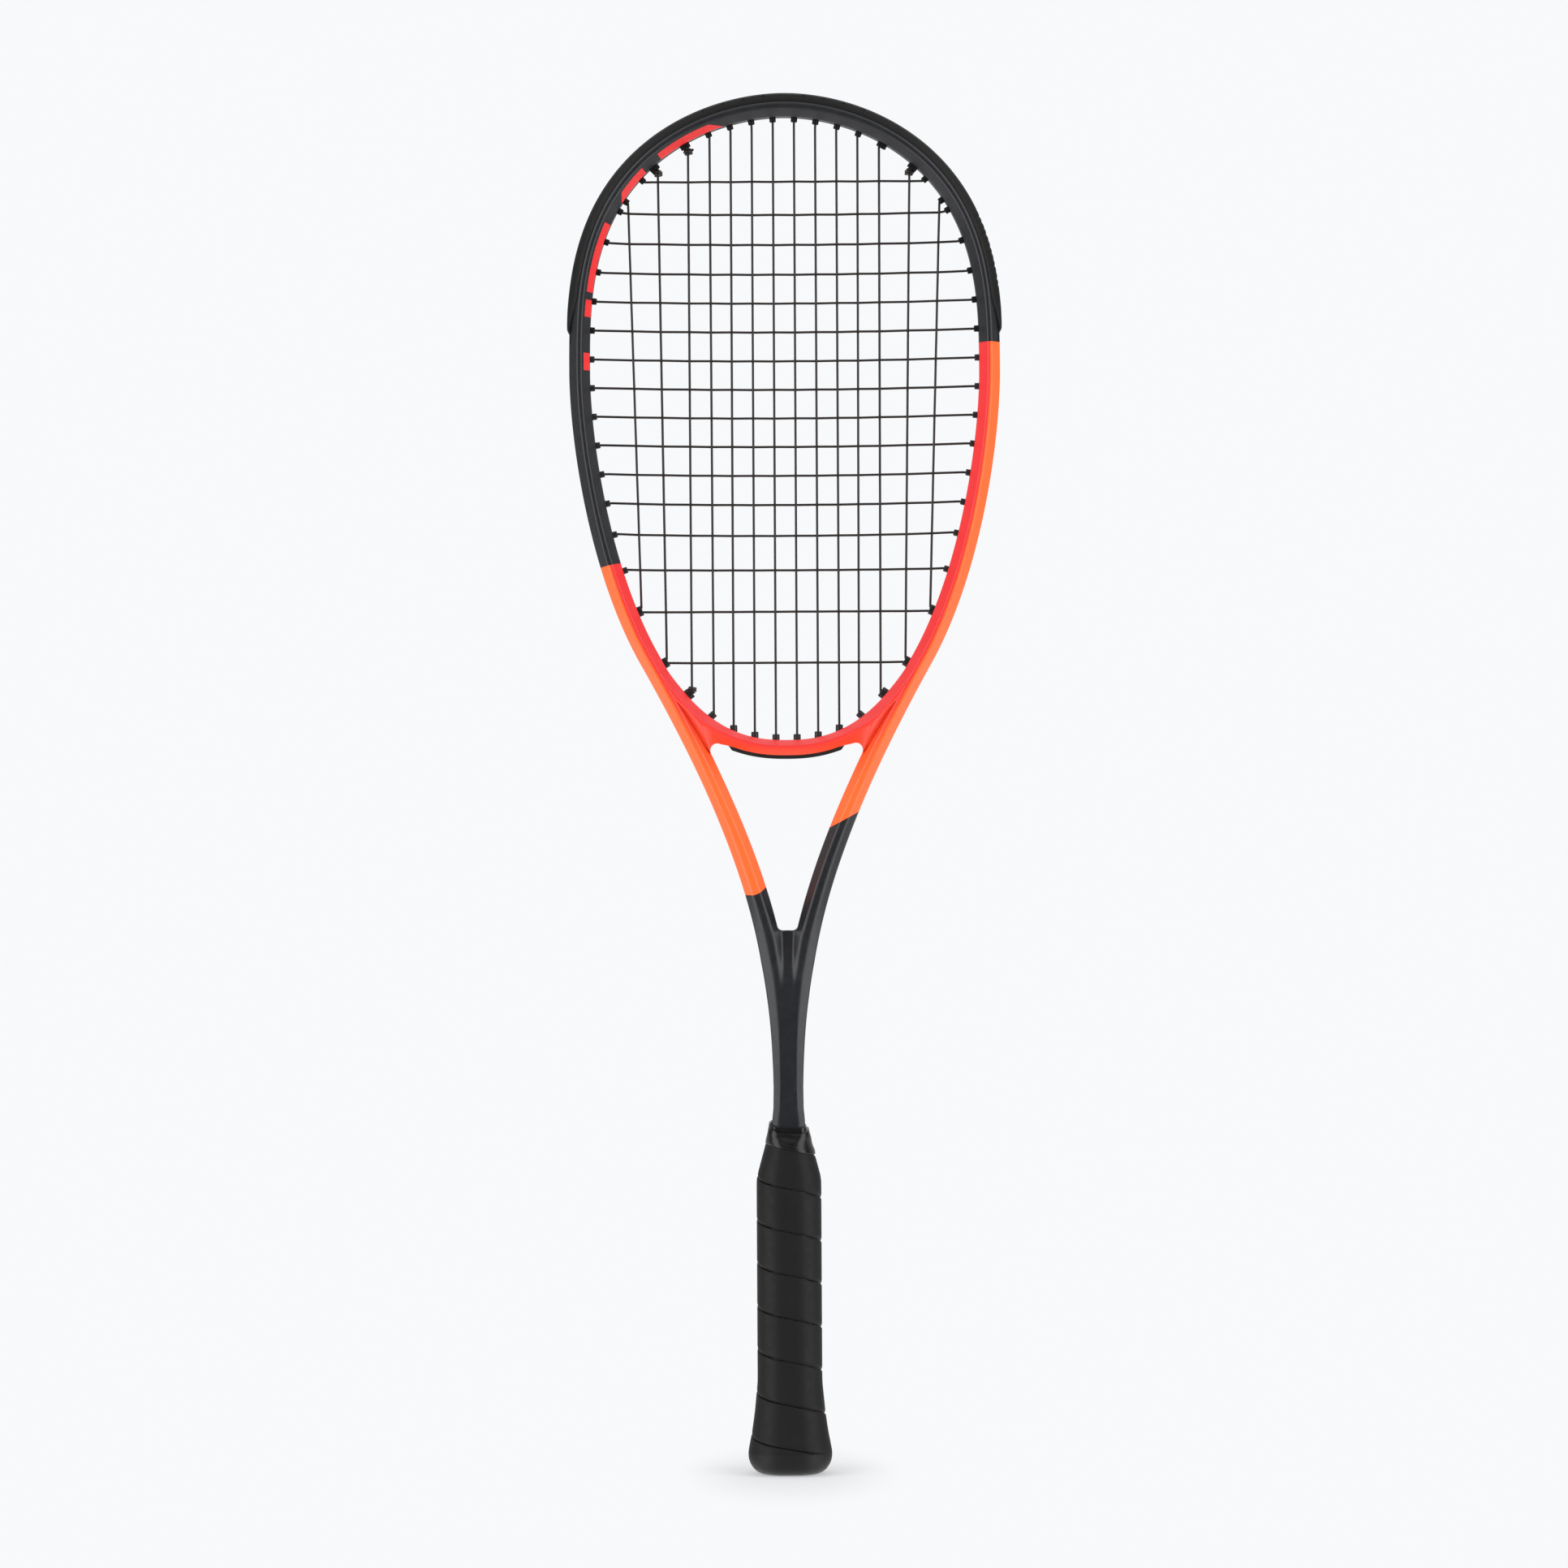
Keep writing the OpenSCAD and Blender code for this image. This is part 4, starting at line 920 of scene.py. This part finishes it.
def cross_row(j):
    """Cross string j, from left to right on even rows and back on odd ones."""
    right = [crossing(k, j, -over(k, j)) for k in range(7) if FIRST_CROSS[k] <= j <= LAST_CROSS[k]]
    off = DOUBLE_HALF if j > 13 else 0.0
    crowded = j == 0 or j > 13
    start = flipped(way_out(CROSS_END[j], off, -SIDE_Y, crowded), MIRROR)[::-1]
    row = start + flipped(right[::-1], HALF_TURN) + right + way_out(CROSS_END[j], off, SIDE_Y, crowded)
    return row if j % 2 == 0 else row[::-1]


def cross_path():
    """Cross string: from a knot at the upper left down all its rows, to a knot at the lower left."""
    start = knot(top_end(4), main_at(4, CROSS_Z[0]), [-4.2, -0.7, 0.3])
    end = knot(low_end(4), main_at(4, CROSS_Z[15]), [-3.3, -0.5, 1.3])
    path = flipped(start[::-1] + way_out(MAIN_TOP[4], DOUBLE_HALF)
                   + groove_run(MAIN_TOP[4], CROSS_END[0]), MIRROR)
    for j in range(15):
        y = SIDE_Y if j % 2 == 0 else -SIDE_Y
        loop = groove_run(CROSS_END[j], CROSS_END[j + 1], y)
        path += cross_row(j) + (loop if j % 2 == 0 else flipped(loop, MIRROR))
    path += cross_row(15)
    return path + flipped(groove_run(CROSS_END[15], MAIN_LOW[4])
                          + way_out(MAIN_LOW[4], -DOUBLE_HALF)[::-1] + end, MIRROR)


def bent(path):
    """The path with its corners bent round: softly at a crossing, closely where it turns into a hole."""
    path = np.array(path)
    way = unit(np.diff(path, axis=0))
    turn = np.degrees(np.arccos(np.clip(np.sum(way[:-1] * way[1:], axis=1), -1, 1)))
    cuts = mix(2.4, 0.6, smooth((turn - 10) / 12))
    return np.concatenate([path[:1], rounded(path[None], cuts)[0], path[-1:]])


def string_tube(path, sides=10):
    """Round tube along a path, its rings carried on without twist and its ends rounded off."""
    way = unit(np.gradient(path, axis=0))
    path = np.concatenate([[path[0] - way[0] * 0.35], path, [path[-1] + way[-1] * 0.35]])
    way = np.concatenate([way[:1], way, way[-1:]])
    radii = np.full(len(path), STRING_RADIUS)
    radii[[0, -1]] *= 0.45
    turn = np.radians(np.arange(sides) * 360 / sides)
    across = unit(np.cross(way[0], [0.3, 1, 0.2]))
    rings = []
    for here, ahead, radius in zip(path, way, radii):
        across = unit(across - ahead * (across @ ahead))
        third = np.cross(ahead, across)
        rings.append(here + radius * (np.outer(np.cos(turn), across) + np.outer(np.sin(turn), third)))
    return loft(np.array(rings))


def build_strings(material):
    add_piece("string_mains", string_tube(bent(main_path())), "main_string", "string", material)
    add_piece("string_crosses", string_tube(bent(cross_path())), "cross_string", "string", material)


# Handle

GRIP_FLATS = (0.52, 0.46)
GRIP_EASE = 5
GRIP_LOW = LIP_TOP + 0.1
GRIP_HIGH = HANDLE_LENGTH - 0.5
GRIP_START = 7
STRIP_WIDTH = GRIP_PITCH - 0.25
STRIP_THICKNESS = 1.5
SEAM_SHIFT = 1.9
SEAM_ABOVE = 2.3
SEAM_BELOW = 0.8
ACROSS = np.array([0, 0.012, 0.03, 0.06, 0.1, 0.15, 0.25, 0.4, 0.55, 0.7, 0.85, 0.93, 0.955, 0.975, 0.99, 1])


def eight_sided(hx, hy, ease, flats=GRIP_FLATS):
    """Rounded eight-sided outlines, one row for each size, from the front right corner round the back."""
    hx, hy = np.atleast_1d(hx, hy)
    fx, fy = hx * flats[0], hy * flats[1]
    corners = outline(len(hx), (hx, -fy), (hx, fy), (fx, hy), (-fx, hy), (-hx, fy), (-hx, -fy),
                      (-fx, -hy), (fx, -hy))
    closed = np.concatenate([corners[:, -1:], corners, corners[:, :1]], 1)
    arcs = rounded(closed, ease, 5).reshape(len(hx), 8, 5, 2)
    start, end = arcs[:, :, -1:], np.roll(arcs, -1, axis=1)[:, :, :1]
    sides = mix(start, end, np.linspace(0, 1, 6)[1:-1, None])
    return np.concatenate([arcs, sides], 2).reshape(len(hx), -1, 2)


def grip_size(z):
    """Half width and half depth over the grip, which flares to the butt."""
    ramp = SHOULDER_HALF + SHOULDER_SLOPE * (HANDLE_LENGTH - z)
    x = -soft_max(-ramp, -GRIP_WIDTH / 2, 0.8)
    y = lookup(z, (HANDLE_LENGTH - TAPER_LENGTH, GRIP_DEPTH / 2), (HANDLE_LENGTH, GRIP_DEPTH / 2 - 0.3))
    flare = lookup(z, (LIP_TOP, 1), (15, 0.86), (19, 0.68), (23, 0.54), (31, 0.31), (40, 0.12), (46, 0))
    return mix(x, BUTT_WIDTH / 2, flare), mix(y, BUTT_DEPTH / 2, flare)


# Rounding of the eight corners, fuller towards the butt
grip_ease = by_height((LIP_TOP, 6.3), (24, 5.2), (40, GRIP_EASE))


def build_grip(material):
    """One strip wound up the handle: each turn rolls in at its lower edge over the turn below."""
    plain = eight_sided(GRIP_WIDTH / 2, GRIP_DEPTH / 2, GRIP_EASE)[0]
    count = len(plain)
    around = so_far(np.concatenate([plain, plain[:1]]))
    share = around[:-1] / around[-1]
    begin = count * GRIP_START // 8
    first = int(-count * (STRIP_WIDTH + SEAM_SHIFT) / GRIP_PITCH)
    last = int(count * (GRIP_HIGH - GRIP_LOW - SEAM_SHIFT) / GRIP_PITCH)
    rings = []
    for i in range(first, last + 1):
        turn, step = divmod(-i, count)
        place = (step + begin) % count
        wound = -(turn + (share[place] - share[begin]) % 1.0)
        low = GRIP_LOW + SEAM_SHIFT + GRIP_PITCH * wound
        high = low + STRIP_WIDTH
        a, b = max(low, GRIP_LOW), min(high, GRIP_HIGH)
        if b - a < 0.6:
            continue
        z = mix(a, b, ACROSS)
        inset = 0.85 * np.maximum(0, 1 - np.maximum(z - low, 0) / SEAM_ABOVE) ** 2
        inset += 0.45 * np.maximum(0, 1 - np.maximum(high - z, 0) / SEAM_BELOW) ** 2
        x, y = grip_size(z)
        ease = grip_ease(z)[:, None]
        outside, inside = (np.column_stack([eight_sided(x - d, y - d, ease)[:, place], z])
                           for d in (inset, STRIP_THICKNESS))
        rings.append(np.concatenate([outside, inside[::-1]]))
    add_piece("grip_wrap", loft(np.array(rings)), "grip_tape", "grip_skin", material)


BUTT_ROUND = 9.0
BUTT_RISE = 9.8
BUTT_DISH = 0.5
BUTT_EASE = 6.3


def build_butt(material):
    """Butt cap: a flat base with a shallow dish, a full round lip and an edge that dips under the grip."""
    g = np.radians(np.linspace(0, 90, 14))
    inset = np.concatenate([BUTT_ROUND + np.array([4.0, 3.2, 2.6]), BUTT_ROUND * (1 - np.sin(g)),
                            [0.0, 0.3, 1.5]])
    z = np.concatenate([[BUTT_DISH, BUTT_DISH, 0.0], BUTT_RISE * (1 - np.cos(g)),
                        LIP_TOP + np.array([0.0, 0.3, 1.0])])
    ease = np.clip(BUTT_EASE - inset * 0.2, 2.5, BUTT_EASE)
    rows = eight_sided(BUTT_WIDTH / 2 - inset, BUTT_DEPTH / 2 - inset, ease[:, None])
    rings = [np.column_stack([row, np.full(len(row), height)]) for row, height in zip(rows, z)]
    add_piece("butt_cap_shell", loft(np.array(rings)), "butt_cap", "butt_rubber", material)


# Half widths and half depths of the tape over the grip and the shaft, by height
TAPE_WIDTH = ((158, 13.4), (161, 12.6), (164, 11.75), (167, 11.1), (170, 10.4), (173, 9.9), (177, 9.6))
TAPE_DEPTH = ((158, 14.4), (162, 14.3), (165, 14.1), (168, 13.2), (171, 12.4), (175, 12), (177, 11.9))
TAPE_EASE = 4.0
TAPE_FLAT = 0.72
TAPE_TURN = np.arctan2(*eight_sided(10.0, 10.0, TAPE_EASE)[0].T[::-1])
TAPE_LOW = 161.6 - 2.9 * np.cos(TAPE_TURN)
TAPE_HIGH = 173.2 - 1.55 * np.cos(TAPE_TURN) - 3.2 * np.maximum(0, -np.sin(TAPE_TURN)) ** 2
# Rolled edges, as lifts and growths: the lower and the upper edge of the tape, and the collar
LOW_EDGE = ((0.5, -0.9), (0.1, -0.55), (0.0, -0.35), (0.08, -0.15))
HIGH_EDGE = ((-0.35, -0.05), (-0.12, -0.25), (0.0, -0.6))
COLLAR_EDGE = ((0.0, 0.9), (0.25, 0.7), (0.3, 0.3), (0.0, -0.8))
COLLAR_TOP = 172.6
COLLAR_HALF = 7.9
COLLAR_EASE = 1.6
COLLAR_FLATS = (0.8, 0.78)


def tape_ring(z, grow):
    """Ring of the tape at a height for each point of the outline, grown outwards."""
    spots = np.arange(len(z))
    flats = [mix(flat, TAPE_FLAT, smooth((z - 163) / 8)) for flat in GRIP_FLATS]
    row = eight_sided(lookup(z, *TAPE_WIDTH), lookup(z, *TAPE_DEPTH), TAPE_EASE, flats)[spots, spots]
    return np.column_stack([row * (1 + grow / np.linalg.norm(row, axis=1))[:, None], z])


def collar_ring(z, grow):
    """Ring round the shaft, grown outwards."""
    row = eight_sided(COLLAR_HALF + grow, SHAFT_DEPTH / 2 + grow, COLLAR_EASE, COLLAR_FLATS)[0]
    return np.column_stack([row, z])


def build_tape(material):
    """Finishing tape: a slanting wrap over the top of the grip, closed on a first wrap round the shaft."""
    rings = [tape_ring(TAPE_LOW + lift, grow) for lift, grow in LOW_EDGE]
    for h in np.linspace(0.03, 0.96, 28):
        swell = 0.35 * np.exp(-((h - 0.16) / 0.12) ** 2) * (0.55 + 0.45 * np.sin(TAPE_TURN * 3 + 0.8))
        fold = 0.1 * np.sin(TAPE_TURN * 2 + h * 11 + 1) * smooth((h - 0.4) / 0.4)
        rings.append(tape_ring(mix(TAPE_LOW, TAPE_HIGH, h), swell + fold))
    rings += [tape_ring(TAPE_HIGH + lift, grow) for lift, grow in HIGH_EDGE]
    rings.append(collar_ring(TAPE_HIGH + 0.15, 1.1))
    top = soft_max(TAPE_HIGH + 0.3, COLLAR_TOP + 0.3 * np.sin(TAPE_TURN * 2 + 0.5), 1.0)
    rings += [collar_ring(top + lift, grow) for lift, grow in COLLAR_EDGE]
    add_piece("tape_wrap", loft(np.array(rings), close_rows=True), "finishing_tape", "tape_vinyl", material)


# Materials

class Shader:
    """Short ways to add and link the nodes of one material."""

    def __init__(self, name, owner=None):
        self.material = owner or bpy.data.materials.new(name)
        self.material.use_nodes = True
        self.nodes = self.material.node_tree.nodes
        self.links = self.material.node_tree.links
        self.surface = self.nodes.get("Principled BSDF")

    def put(self, socket, value):
        if isinstance(value, bpy.types.NodeSocket):
            self.links.new(value, socket)
        elif socket.type == "RGBA":
            socket.default_value = (*value, 1)
        else:
            socket.default_value = value

    def set(self, **values):
        for name, value in values.items():
            self.put(self.surface.inputs[name.replace("_", " ")], value)

    def node(self, kind, inputs, output=0, **settings):
        """Output of a new node, its inputs given by name or number."""
        node = self.nodes.new("ShaderNode" + kind)
        for name, value in settings.items():
            setattr(node, name, value)
        for key, value in inputs.items():
            self.put(node.inputs[key], value)
        return node.outputs[output]

    def math(self, operation, a, b=0.0, clamp=False):
        return self.node("Math", {0: a, 1: b}, operation=operation, use_clamp=clamp)

    def plus(self, a, b):
        return self.math("ADD", a, b)

    def minus(self, a, b):
        return self.math("SUBTRACT", a, b)

    def times(self, a, b):
        return self.math("MULTIPLY", a, b)

    def choose(self, share, a, b):
        """a where the share is 1 and b where it is 0."""
        return self.plus(self.times(share, self.minus(a, b)), b)

    def span(self, value, low, high, to_low=0.0, to_high=1.0, kind="LINEAR"):
        inputs = dict(enumerate((value, low, high, to_low, to_high)))
        return self.node("MapRange", inputs, interpolation_type=kind)

    def soft(self, value, low, high, to_low=0.0, to_high=1.0):
        return self.span(value, low, high, to_low, to_high, "SMOOTHSTEP")

    def colour(self, share, a, b):
        return self.node("Mix", {0: share, 6: a, 7: b}, 2, data_type="RGBA")

    def attribute(self, name):
        return self.node("Attribute", {}, "Fac", attribute_name=name)

    def axes(self, vector):
        return [self.node("SeparateXYZ", {0: vector}, axis) for axis in "XYZ"]

    def place(self):
        """The surface point in millimetres."""
        point = self.node("TexCoord", {}, "Object")
        return self.node("VectorMath", {0: point, "Scale": 1 / MM}, operation="SCALE")

    def noise(self, vector, scale, detail, stretch=(1, 1, 1)):
        stretched = self.node("Mapping", {"Vector": vector, "Scale": stretch})
        return self.node("TexNoise", {"Vector": stretched, "Scale": scale, "Detail": detail}, "Fac")

    def bump(self, height, strength, distance):
        inputs = {"Height": height, "Strength": strength, "Distance": distance * MM}
        self.set(Normal=self.node("Bump", inputs))


GRAPHITE = (0.0065, 0.007, 0.009)
GRAPHITE_LIGHT = (0.0105, 0.011, 0.0135)
ORANGE = (0.96, 0.115, 0.02)
RED = (0.65, 0.02, 0.021)
# Ends of the bright paint, by height: straight lines in X, and a curve at the lower left
RIGHT_TOP = 561.6
LEFT_TOP = 472.4
LEFT_TOP_SLOPE = 0.238
RIGHT_LOW = 309.8
RIGHT_LOW_SLOPE = 0.535
LEFT_LOW = 287.8
LEFT_LOW_CURVE = 0.08
LEFT_LOW_BEND = 17.6
SPLIT_EDGE = 0.12
# Red marks on the inner facet at the upper left: start and end along the rim, and their slants
RED_MARKS = ((30.5, 65.5, 8, 0), (75.4, 94.8, 0, 5), (107, 142.1, 0, 0), (145.7, 154.3, 0, 0),
             (171.9, 180.7, 0, 0))
# Most of a noise lies between these values
NOISE_SPAN = (0.3, 0.7)


def lacquer():
    """Graphite lacquer with an orange and red lower half, split at other heights on each side."""
    s = Shader("frame_lacquer_finish")
    vector = s.place()
    x, _, z = s.axes(vector)
    band, tint, run = (s.attribute(name) for name in ("band", "tint", "run"))
    left = s.math("LESS_THAN", x, 0.0)
    left_top = s.plus(s.times(x, LEFT_TOP_SLOPE), LEFT_TOP)
    top = s.choose(left, left_top, RIGHT_TOP)
    inward = s.math("MAXIMUM", s.plus(x, LEFT_LOW_BEND), 0.0)
    left_low = s.plus(s.times(s.times(inward, inward), LEFT_LOW_CURVE), LEFT_LOW)
    right_low = s.plus(s.times(x, RIGHT_LOW_SLOPE), RIGHT_LOW)
    low = s.choose(left, left_low, right_low)
    below, above = (s.span(away, -SPLIT_EDGE, SPLIT_EDGE) for away in (s.minus(top, z), s.minus(z, low)))
    marks = s.times(red_marks(s, band, run), s.math("GREATER_THAN", z, left_top))
    graphite = s.colour(s.noise(vector, 2.2, 4), GRAPHITE, GRAPHITE_LIGHT)
    paint = s.colour(s.times(below, above), graphite, s.colour(tint, ORANGE, RED))
    inner_wall = s.times(s.span(band, 6.0, 6.4), s.math("GREATER_THAN", z, CROTCH + 5))
    s.set(Base_Color=s.colour(marks, paint, RED),
          Roughness=s.span(s.noise(vector, 0.35, 2), *NOISE_SPAN, 0.3, 0.4),
          Specular_IOR_Level=s.span(inner_wall, 0.0, 1.0, 0.38, 0.05))
    s.bump(s.noise(vector, 1.6, 2), 0.06, 0.02)
    return s.material


def red_marks(s, band, run):
    """Share of the marks: the inner part of the inner facet, between pairs of slanted ends."""
    facet = s.times(s.span(band, 5.18, 5.22), s.span(band, 6.9, 6.8))
    back = s.minus(6.0, band)
    along = s.times(run, -1.0)
    total = 0.0
    for start, end, start_slant, end_slant in RED_MARKS:
        past_start = s.minus(along, s.plus(s.times(back, start_slant), start))
        to_end = s.minus(s.minus(end, s.times(back, end_slant)), along)
        inside = s.times(s.span(past_start, 0.0, 0.2), s.span(to_end, 0.0, 0.2))
        total = s.math("ADD", total, inside, clamp=True)
    return s.times(total, facet)


def finish(name, dark, light, tone, rough, shine=0.5):
    """Material with mottled colour and roughness. rough is scale and detail of the noise, low and high."""
    s = Shader(name)
    vector = s.place()
    *grain, low, high = rough
    s.set(Base_Color=s.colour(s.noise(vector, *tone), dark, light), Specular_IOR_Level=shine,
          Roughness=s.span(s.noise(vector, *grain), *NOISE_SPAN, low, high))
    return s, vector


def moulded(name, dark, light, roughness, grain, shine):
    """Moulded plastic with a fine grain."""
    s, vector = finish(name, dark, light, (0.5, 3), (0.9, 2, roughness - 0.06, roughness + 0.06), shine)
    s.bump(s.noise(vector, grain, 3), 0.25, 0.03)
    return s.material


def string_finish():
    """Multifilament string with fine fibres."""
    s, vector = finish("string_finish", (0.008, 0.006, 0.005), (0.015, 0.011, 0.009), (0.8, 2),
                       (2.0, 2, 0.32, 0.44), 0.35)
    s.bump(s.noise(vector, 5.0, 2), 0.15, 0.02)
    return s.material


def grip_finish():
    """Matt polyurethane grip: fine level lines, soft pulls and a little sheen."""
    s, vector = finish("grip_finish", (0.0055, 0.005, 0.005), (0.008, 0.0073, 0.0072), (0.09, 3),
                       (0.3, 3, 0.5, 0.62), 0.16)
    lines = s.noise(vector, 0.5, 3, stretch=(0.35, 0.35, 4.0))
    pulls = s.noise(vector, 0.16, 2, stretch=(0.6, 0.6, 1.6))
    s.bump(s.plus(s.times(lines, 0.4), pulls), 0.35, 0.35)
    return s.material


def tape_finish():
    """Glossy vinyl tape."""
    s, vector = finish("tape_finish", (0.004, 0.004, 0.0045), (0.006, 0.006, 0.0065), (0.3, 2),
                       (0.4, 2, 0.16, 0.3), 0.3)
    s.bump(s.noise(vector, 0.35, 3, stretch=(1, 1, 2.2)), 0.3, 0.3)
    return s.material


def foam_finish():
    s, vector = finish("foam_finish", (0.09, 0.09, 0.09), (0.14, 0.14, 0.14), (1.2, 4), (1.2, 4, 0.85, 0.85))
    s.bump(s.noise(vector, 2.5, 4), 0.5, 0.1)
    return s.material


def steel_finish():
    s, _ = finish("steel_finish", (0.5, 0.5, 0.51), (0.62, 0.62, 0.63), (1.5, 3), (3.0, 2, 0.25, 0.4))
    s.set(Metallic=1.0)
    return s.material


def dress_node(node, material):
    """A CAD node that stays takes a material of its own."""
    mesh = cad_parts[node].data
    mesh.materials.clear()
    mesh.materials.append(material)


# Stage, light and camera, in metres

BLACK = (0, 0, 0)
BACKGROUND = (0.938, 0.947, 0.965)
FLOOR_WHITE = (0.972, 0.981, 1)
FLOOR_RADIUS = 3.6
FLOOR_BEND = 1.2
WALL_TOP = 5.0
FLOOR_DIFFUSE = 0.38
# Cut of the floor's glow where it takes light, set above the light it takes, so that the glow near the butt
# is darkened as a painted shadow
FLOOR_LIGHT_WITH_PAINTED_SHADOW = 1.52
SHADOW_REACH = 0.06
# Stretch of the ring round the butt, longer to the front and back: it shapes both the real shadow and the
# painted shadow
SHADOW_STRETCH = (1.0, 0.45, 1.0)
BOX_LIGHT = 3.0
FLOOR_BOUNCE = 1.0
TOP_LIGHT = 0.8
BACK_LIGHT = 0.4
BASE_LIGHT = 0.16
CAMERA_PLACE = (-0.0014, -2.6, 0.3428)
CAMERA_LENS = 120.03
CAMERA_ROLL = 0.306


def build_stage():
    """Pale floor that curves up into a wall all round. Only the camera sees it. Close to the butt it takes a
    real shadow in its diffuse part, and its glow is cut there by more than the light it takes: a painted
    shadow."""
    g = np.radians(np.linspace(0, 90, 16))
    bend = np.stack([FLOOR_RADIUS - FLOOR_BEND * (1 - np.sin(g)), FLOOR_BEND * (1 - np.cos(g))], 1)
    profile = [(0.06, 0.0), (0.3, 0.0), (1.2, 0.0), *bend, (FLOOR_RADIUS, WALL_TOP)]
    turn = np.radians(np.arange(0, 360, 5))
    rings = np.array([np.column_stack([r * np.cos(turn), r * np.sin(turn), np.full_like(turn, z)])
                      for r, z in profile])
    rows, cols = rings.shape[:2]
    faces = grid_quads(rows, cols)[:, ::-1].tolist() + [list(range(cols))]
    mesh = bpy.data.meshes.new("studio_floor")
    mesh.from_pydata(rings.reshape(-1, 3).tolist(), [], faces)
    for polygon in mesh.polygons:
        polygon.use_smooth = True
    s = Shader("studio_floor_finish")
    point = s.node("TexCoord", {}, "Object")
    nearer = s.node("VectorMath", {0: point, 1: SHADOW_STRETCH}, operation="MULTIPLY")
    away = s.node("VectorMath", {0: nearer}, "Value", operation="LENGTH")
    share = s.soft(away, SHADOW_REACH, 0.02, 0.0, FLOOR_DIFFUSE)
    # Near the butt the glow is cut by more than the light the diffuse part takes: a painted shadow on top of
    # the real one
    s.set(Base_Color=s.colour(share, BLACK, FLOOR_WHITE), Roughness=1.0, Specular_IOR_Level=0.0,
          Emission_Color=s.colour(s.times(share, FLOOR_LIGHT_WITH_PAINTED_SHADOW), BACKGROUND, BLACK), Emission_Strength=1.0)
    mesh.materials.append(s.material)
    floor = add_object("studio_floor", mesh)
    floor.visible_diffuse = False
    floor.visible_glossy = False
    floor.visible_shadow = False


def build_light():
    """Soft boxes at both sides, light from above, below and behind, and dark ahead."""
    world = bpy.data.worlds.new("studio_light")
    bpy.context.scene.world = world
    s = Shader("studio_light", world)
    x, y, z = s.axes(s.node("TexCoord", {}, "Generated"))
    side = s.times(s.soft(s.math("ABSOLUTE", x), 0.34, 0.7), s.soft(y, 0.0, -0.22))
    below = s.times(s.soft(z, -0.1, -0.5, 0.0, FLOOR_BOUNCE), s.soft(y, -0.4, 0.1, 0.3, 1.0))
    behind = s.soft(y, 0.25, 0.6, 0.0, BACK_LIGHT)
    overhead = s.soft(z, 0.3, 0.7, 0.0, TOP_LIGHT)
    strength = s.plus(s.times(side, BOX_LIGHT), BASE_LIGHT)
    for light in (below, behind, overhead):
        strength = s.plus(strength, light)
    background = s.nodes["Background"]
    s.put(background.inputs["Color"], (1, 1, 1))
    s.put(background.inputs["Strength"], strength)


def build_camera():
    data = bpy.data.cameras.new("photo_camera")
    data.sensor_width = 36
    data.sensor_fit = "HORIZONTAL"
    data.lens = CAMERA_LENS
    camera = add_object("photo_camera", data)
    camera.location = CAMERA_PLACE
    camera.rotation_euler = (math.pi / 2, math.radians(CAMERA_ROLL), 0)
    bpy.context.scene.camera = camera


lacquer_finish = lacquer()
nylon = moulded("nylon_finish", (0.0045, 0.0045, 0.0045), (0.0075, 0.0075, 0.0072), 0.46, 1.8, 0.12)
grommet = moulded("grommet_finish", (0.005, 0.005, 0.005), (0.009, 0.0085, 0.0085), 0.42, 2.4, 0.35)
rubber = moulded("butt_finish", (0.0055, 0.005, 0.005), (0.0078, 0.0072, 0.007), 0.54, 1.2, 0.2)
build_frame(lacquer_finish)
build_bridge(lacquer_finish)
build_bumper(nylon)
build_side_strips(grommet)
build_throat_strip(grommet)
build_strings(string_finish())
build_grip(grip_finish())
build_butt(rubber)
build_tape(tape_finish())
dress_node("handle_core", foam_finish())
dress_node("cap_staples", steel_finish())
build_stage()
build_light()
build_camera()
bpy.context.scene.view_settings.view_transform = "Standard"
